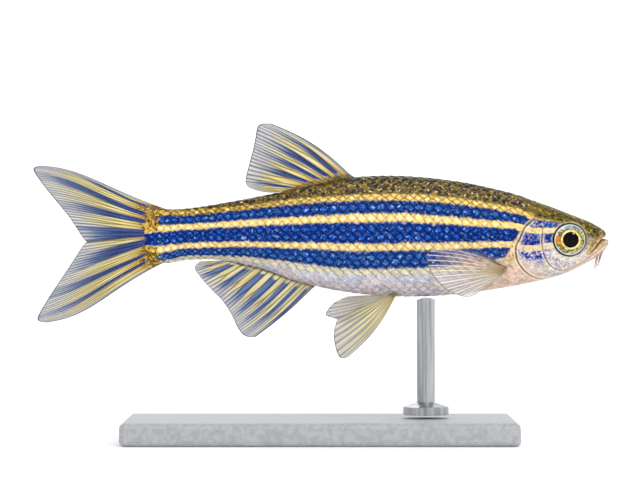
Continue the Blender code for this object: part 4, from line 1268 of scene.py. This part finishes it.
def banded(bands, start, clear_front, clear_rear, root_line, warmth, ragged):
    """Paint for a fin with blue bands between yellow rays, dark below the root line."""

    def paint(u, raw, ray, streak):
        v = np.clip(raw, 0, 1)
        blue = band_mask(u, v, bands, streak) * smooth(start, start + 0.05, v + 0.08 * (streak - 0.5))
        coloured = smooth(clear_front - 0.015, clear_front + 0.015, u)
        coloured = coloured * (1 - smooth(1 - clear_rear - 0.02, 1 - clear_rear + 0.03, u))
        fading = 1 - smooth(0.45, 1.05, v + 0.4 * (streak - 0.5))
        yellow = (1 - blue) * fading * coloured * (0.78 + 0.22 * warmth)
        lines = ray * (0.78 + 0.14 * v)
        leading = smooth(0.026, 0.014, u) * (clear_front > 0)
        margin = np.maximum.reduce([hem(u, v), leading, smooth(0.974, 0.986, u) * (clear_rear > 0.03)])
        knot = 0 * u
        if ragged:
            knot = smooth(ragged * 1.6, 0.0, raw - ragged * (streak - 0.3)) * (1 - blue)
        return {
            "blue": blue,
            "yellow": yellow,
            "dark": lines,
            "amber": smooth(root_line + 0.015, root_line - 0.015, raw) * 0.9,
            "knot": knot,
            "hem": margin * 0.85,
            "cover": 0.76 + 0.20 * np.maximum(yellow, blue) + 0.3 * lines + 0.3 * margin + knot,
            "root": (1 - v) * warmth,
        }

    return paint


def beside(u, count, shift, width):
    """Lines that run beside each ray."""
    return bump(np.mod(u * count + shift, 1.0) - 0.5, width)


def pelvic_paint(thin):
    """Paint for a pelvic fin of yellow rays, each between two dark lines."""

    def paint(u, raw, ray, streak):
        v = np.clip(raw, 0, 1)
        strip = beside(u, PELVIC_COUNT, 0.0, 0.26 - 0.06 * v)
        yellow = np.clip(strip * 1.25 + 0.25 * (1 - v), 0, 1) * (1 - smooth(0.5, 1.0, v) * 0.45)
        lines = np.maximum.reduce([
            0.95 * beside(u, PELVIC_COUNT, 0.30 + 0.10 * v, 0.085),
            0.95 * beside(u, PELVIC_COUNT, -0.30 - 0.10 * v, 0.085),
            0.5 * beside(u, PELVIC_COUNT, 0.5, 0.06) * smooth(0.25, 0.5, v),
            0.9 * smooth(0.035, 0.015, u),
            0.6 * beside(u, PELVIC_COUNT, 0.0, 0.05) * smooth(0.35, 0.6, v),
        ])
        return {
            "yellow": yellow,
            "dark": lines,
            "amber": smooth(0.05, 0.0, v) * 0.5,
            "hem": hem(u, v) * 0.85,
            "cover": (0.66 + 0.3 * yellow) * thin + 0.4 * lines + 0.4 * hem(u, v),
            "root": 0.34 + 0.52 * (1 - v) + 0.14 * smooth(0.5, 0.1, u),
        }

    return paint


def paint_pectoral(u, raw, ray, streak):
    """Paint for a pectoral fin: pale rays with painted shadows beside them, clear over the stripe, with a
    golden root and dark upper edge.
    """
    v = np.clip(raw, 0, 1)
    centre, root, outer = bump(u - 0.34, 0.26), smooth(0.7, 0.05, v), smooth(0.35, 0.8, v)
    lower = smooth(0.36, 0.62, u)
    rays = beside(u, PECTORAL_COUNT, 0.0, 0.115 - 0.03 * outer)
    forks = 0.6 * outer * beside(u, PECTORAL_COUNT, 0.42, 0.05) * smooth(0.3, 0.5, u)
    rays = np.maximum(rays, forks)
    # The dark lines beside each ray are painted shadows of the ridged rays.
    far_shade = 0.6 * outer * beside(u, PECTORAL_COUNT, -0.22, 0.05)
    shade = np.maximum(beside(u, PECTORAL_COUNT, 0.2, 0.05), far_shade) * smooth(0.25, 0.45, u)
    upper = smooth(0.12, 0.03, u) * smooth(0.75, 0.1, v)
    olive_root = smooth(0.50, 0.05, v) * smooth(0.75, 0.3, u)
    haze = 0.6 * smooth(0.40, 0.10, v) * (1 - 0.3 * lower) + 0.46 * lower
    cover = (0.45 + 0.35 * smooth(0.3, 0.6, v)) * rays + 0.4 * shade + haze + 0.8 * upper
    return {
        "yellow": root * (0.15 + 0.85 * centre) * (1 - 0.35 * rays),
        "light": rays * (1 - 0.45 * root) * (1 - 0.35 * lower),
        "dark": shade * (0.8 - 0.15 * v) * (1 - 0.3 * lower),
        "amber": np.maximum(olive_root * 0.72 * (1 - rays * 0.8), upper * 0.92),
        "hem": hem(u, v) * 0.85,
        "cover": cover + hem(u, v) * 0.6,
    }


def upright(x, z, root, v, u):
    """A sheet in the body's middle plane."""
    return np.stack([x, 0 * x, z], -1)


def swept(x, z, root, v, u):
    """A sheet that bends to the left towards its margin."""
    return np.stack([x, CAUDAL_SWEEP * np.clip(v, 0, 1) ** 2, z], -1)


def splayed(side):
    """A sheet that leans out from the belly, more at its front."""

    def shape(x, z, root, v, u):
        start = surface(root, PELVIC_ANGLE + 0 * root)[..., 1]
        return np.stack([x, side * (start + PELVIC_SPREAD * v * (1 - 0.35 * u)), z], -1)

    return shape


def fanned(side):
    """A sheet that stands out from the flank and curves back."""

    def shape(x, z, root, v, u):
        start = surface(root, angle_at(root, -2.4 - 0.76 * u))[..., 1]
        low = 0.85 + 0.15 * np.cos(np.pi * (u - 0.3))
        rise = 0.62 * smooth(-0.02, 0.12, v) - 0.15
        return np.stack([x, side * (start + rise + PECTORAL_SPREAD * low * np.clip(v, 0, 1) ** 0.8), z], -1)

    return shape


def angle_at(x, z):
    """The angle of the left flank's point at that height."""
    back, belly, _ = section(x)
    level = belly + WIDEST_LEVEL * (back - belly)
    share = (z - level) / np.where(z > level, back - level, level - belly)
    return np.degrees(np.arccos(signed_power(np.clip(share, -1, 1), SECTION_POWER / 2)))


def rooted(rays, edge, gap):
    """Rays with roots beside the back (edge 0) or belly (edge 1), closer to it at the rear."""
    last = len(rays) - 1
    roots = [float(section(np.array(ray[0]))[edge]) for ray in rays]
    gaps = [gap * min(1.0, (last - k) / 3) ** 1.5 for k in range(len(rays))]
    return [(x, root + space, *rest) for (x, *rest), root, space in zip(rays, roots, gaps)]


def pelvic_root(x):
    """The height of a pelvic ray's root, a gap below the belly's side."""
    return float(surface(np.array(x), np.array(PELVIC_ANGLE))[2]) - FIN_GAP


def make_fins():
    """All the fins, each in place of its solid."""
    grey, clear = fin_material("fin_membrane", (200, 200, 200)), fin_material("fin_clear", (196, 190, 184))
    dorsal, anal = rooted(DORSAL_RAYS, 0, FIN_GAP), rooted(ANAL_RAYS, 1, -FIN_GAP)
    paint = banded(*DORSAL_PAINT)
    make_fin("dorsal_membrane", "dorsal_fin", dorsal, DORSAL_COUNT, paint, grey, upright, sink=0.12)
    paint = banded(*ANAL_PAINT)
    make_fin("anal_membrane", "anal_fin", anal, ANAL_COUNT, paint, grey, upright, sink=0.14, fork=0.3)
    lobes = (("upper", CAUDAL_UPPER_RAYS, UPPER_PAINT), ("lower", CAUDAL_LOWER_RAYS, LOWER_PAINT))
    for lobe, rays, paint in lobes:
        name, node = f"caudal_membrane_{lobe}", f"caudal_fin_{lobe}"
        make_fin(name, node, rays, CAUDAL_COUNT, banded(*paint), grey, swept, CAUDAL_SKEW, 0.10)
    sides = ((-1, "right", PELVIC_RIGHT_RAYS, 1.0), (1, "left", PELVIC_LEFT_RAYS, 0.8))
    for side, word, table, thin in sides:
        rays = [(x, pelvic_root(x), *rest) for x, *rest in table]
        name, node, paint = f"pelvic_membrane_{word}", f"pelvic_fin_{word}", pelvic_paint(thin)
        make_fin(name, node, rays, PELVIC_COUNT, paint, grey, splayed(side), sink=0.10)
        name, node, shape = f"pectoral_membrane_{word}", f"pectoral_fin_{word}", fanned(side)
        make_fin(name, node, PECTORAL_RAYS, PECTORAL_COUNT, paint_pectoral, clear, shape, sink=0.06)


def barbel_path(place, angle, lean, length, side):
    """Points down a barbel's middle, from inside the lip."""
    turn = angle if side > 0 else 360 - angle
    root, out = surface(np.array(place), np.array(turn)), normals(np.array(place), np.array(turn))
    t = np.linspace(0, 1, BARBEL_STEPS)[:, None]
    down = np.array([-lean, side * 0.12, -1.0])
    down /= np.linalg.norm(down)
    weight = np.clip(0.45 + 4 * t, 0, 1)
    heading = out * (1 - weight) + down * weight
    path = root - out * BARBEL_SINK + heading * (length + BARBEL_SINK) * t
    path[:, 1] += side * 0.03 * np.sin(t[:, 0] * 5)
    return path, BARBEL_RADIUS + (BARBEL_TIP - BARBEL_RADIUS) * t[:, 0] ** 0.7


def make_barbels():
    """Two pairs of thin tapering barbels."""
    shader = Shader("barbel_skin", roughness=0.45, settings={"Specular IOR Level": 0.2})
    material = shader.finish(shader.mix((132, 104, 90), (184, 158, 142), shader.speckle(3.0, 2, 0.4, 0.6)))
    spin = (np.arange(BARBEL_SIDES) * 2 * np.pi / BARBEL_SIDES)[None, :, None]
    for kind, measures in BARBELS.items():
        for side, word in ((1, "left"), (-1, "right")):
            path, radius = barbel_path(*measures, side)
            ahead = np.gradient(path, axis=0)
            across = np.cross(ahead, [0.3, 1.0, 0.1])
            across /= np.linalg.norm(across, axis=1, keepdims=True)
            up = np.cross(ahead / np.linalg.norm(ahead, axis=1, keepdims=True), across)
            ring = across[:, None] * np.cos(spin) + up[:, None] * np.sin(spin)
            rings = path[:, None] + ring * radius[:, None, None]
            points = np.concatenate([rings.reshape(-1, 3), path[:1], path[-1:]])
            name, nodes = f"feeler_{kind}_{word}", (f"barbel_{kind}_{word}",)
            add_piece(name, points, tube_faces(*rings.shape[:2]), material, {}, nodes=nodes)


def finish_stand():
    """Materials for the two stand solids."""
    shader = Shader("stand_satin", roughness=0.5)
    plate = shader.finish(shader.mix((150, 152, 155), (164, 166, 169), shader.speckle(2.5, 4, 0.35, 0.65)))
    shader = Shader("stand_brushed", roughness=0.3, settings={"Metallic": 1.0})
    streaks_along = shader.rise(shader.noise(3.0, 3, (1, 1, 0.05)), 0.3, 0.7)
    steel = shader.finish(shader.mix((140, 142, 145), (180, 182, 185), streaks_along))
    for name, material in (("stand_base", plate), ("stand_rod", steel)):
        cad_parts[name].data.materials.clear()
        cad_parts[name].data.materials.append(material)


def make_floor():
    """A round white floor that curves up into a wall, with a glow away from the fish."""
    finish = {"Base Color": FLOOR_WHITE, "Specular IOR Level": 0.1, "Emission Color": GLOW_WHITE}
    shader = Shader("studio_floor", roughness=0.9, settings=finish)
    reach = shader.tree.nodes.new("ShaderNodeVectorMath")
    reach.operation = "LENGTH"
    shader.link(shader.place, reach.inputs[0])
    glow = shader.rise(reach.outputs["Value"], 0.3, 1.2, WALL_GLOW)
    shader.link(glow, shader.main.inputs["Emission Strength"])
    profile = [(r * FLOOR_RADIUS, 0.0) for r in FLOOR_RINGS]
    for turn in np.linspace(0.2, 1.57, 8):
        rise = 0.4 * (1 - math.cos(turn))
        profile.append((FLOOR_RADIUS * (1.1 + 0.4 * math.sin(turn)), FLOOR_RADIUS * rise))
    profile.append((FLOOR_RADIUS * 1.5, FLOOR_RADIUS * 1.6))
    turns = np.linspace(0, 2 * math.pi, FLOOR_SEGMENTS, endpoint=False)
    points = [(r * math.cos(a), r * math.sin(a), z) for r, z in profile for a in turns]
    faces = [tuple(int(k) for k in q) for q in grid_quads(len(profile), FLOOR_SEGMENTS, wrap=True)]
    faces += [((j + 1) % FLOOR_SEGMENTS, j, len(points)) for j in range(FLOOR_SEGMENTS)]
    mesh = bpy.data.meshes.new("studio_floor")
    mesh.from_pydata([*points, (0, 0, 0)], [], faces)
    mesh.shade_smooth()
    mesh.materials.append(shader.material)
    floor = bpy.data.objects.new("studio_floor", mesh)
    bpy.context.scene.collection.objects.link(floor)


def make_lights():
    """A white world and soft lamps that face the fish."""
    world = bpy.data.worlds.new("studio")
    world.use_nodes = True
    background = world.node_tree.nodes["Background"]
    background.inputs["Color"].default_value = (1, 1, 1, 1)
    background.inputs["Strength"].default_value = WORLD_LIGHT
    bpy.context.scene.world = world
    for name, place, size, power in LIGHTS:
        light = bpy.data.lights.new(name, "AREA")
        light.size = size
        light.energy = power
        lamp = bpy.data.objects.new(name, light)
        lamp.location = place
        aim = Vector((0, 0, AXIS_HEIGHT * MM)) - Vector(place)
        lamp.rotation_euler = aim.to_track_quat("-Z", "Y").to_euler()
        bpy.context.scene.collection.objects.link(lamp)


def make_camera():
    """A camera level with the body's axis, on the fish's right."""
    camera = bpy.data.cameras.new("camera")
    camera.lens = LENS
    camera.sensor_width = SENSOR
    camera.clip_start = 0.005
    camera.clip_end = 20.0
    mount = bpy.data.objects.new("camera", camera)
    mount.location = (0, -CAMERA_DISTANCE * MM, AXIS_HEIGHT * MM)
    mount.rotation_euler = (math.radians(90), 0, 0)
    bpy.context.scene.collection.objects.link(mount)
    bpy.context.scene.camera = mount


def main():
    make_floor()
    make_lights()
    make_camera()
    bpy.context.scene.view_settings.view_transform = "Standard"
    hide = skin_material()
    make_skin(hide)
    make_scales(hide)
    wet = eye_material()
    for side, word in ((1, "left"), (-1, "right")):
        make_eye(wet, side, word)
    make_fins()
    make_barbels()
    finish_stand()


main()
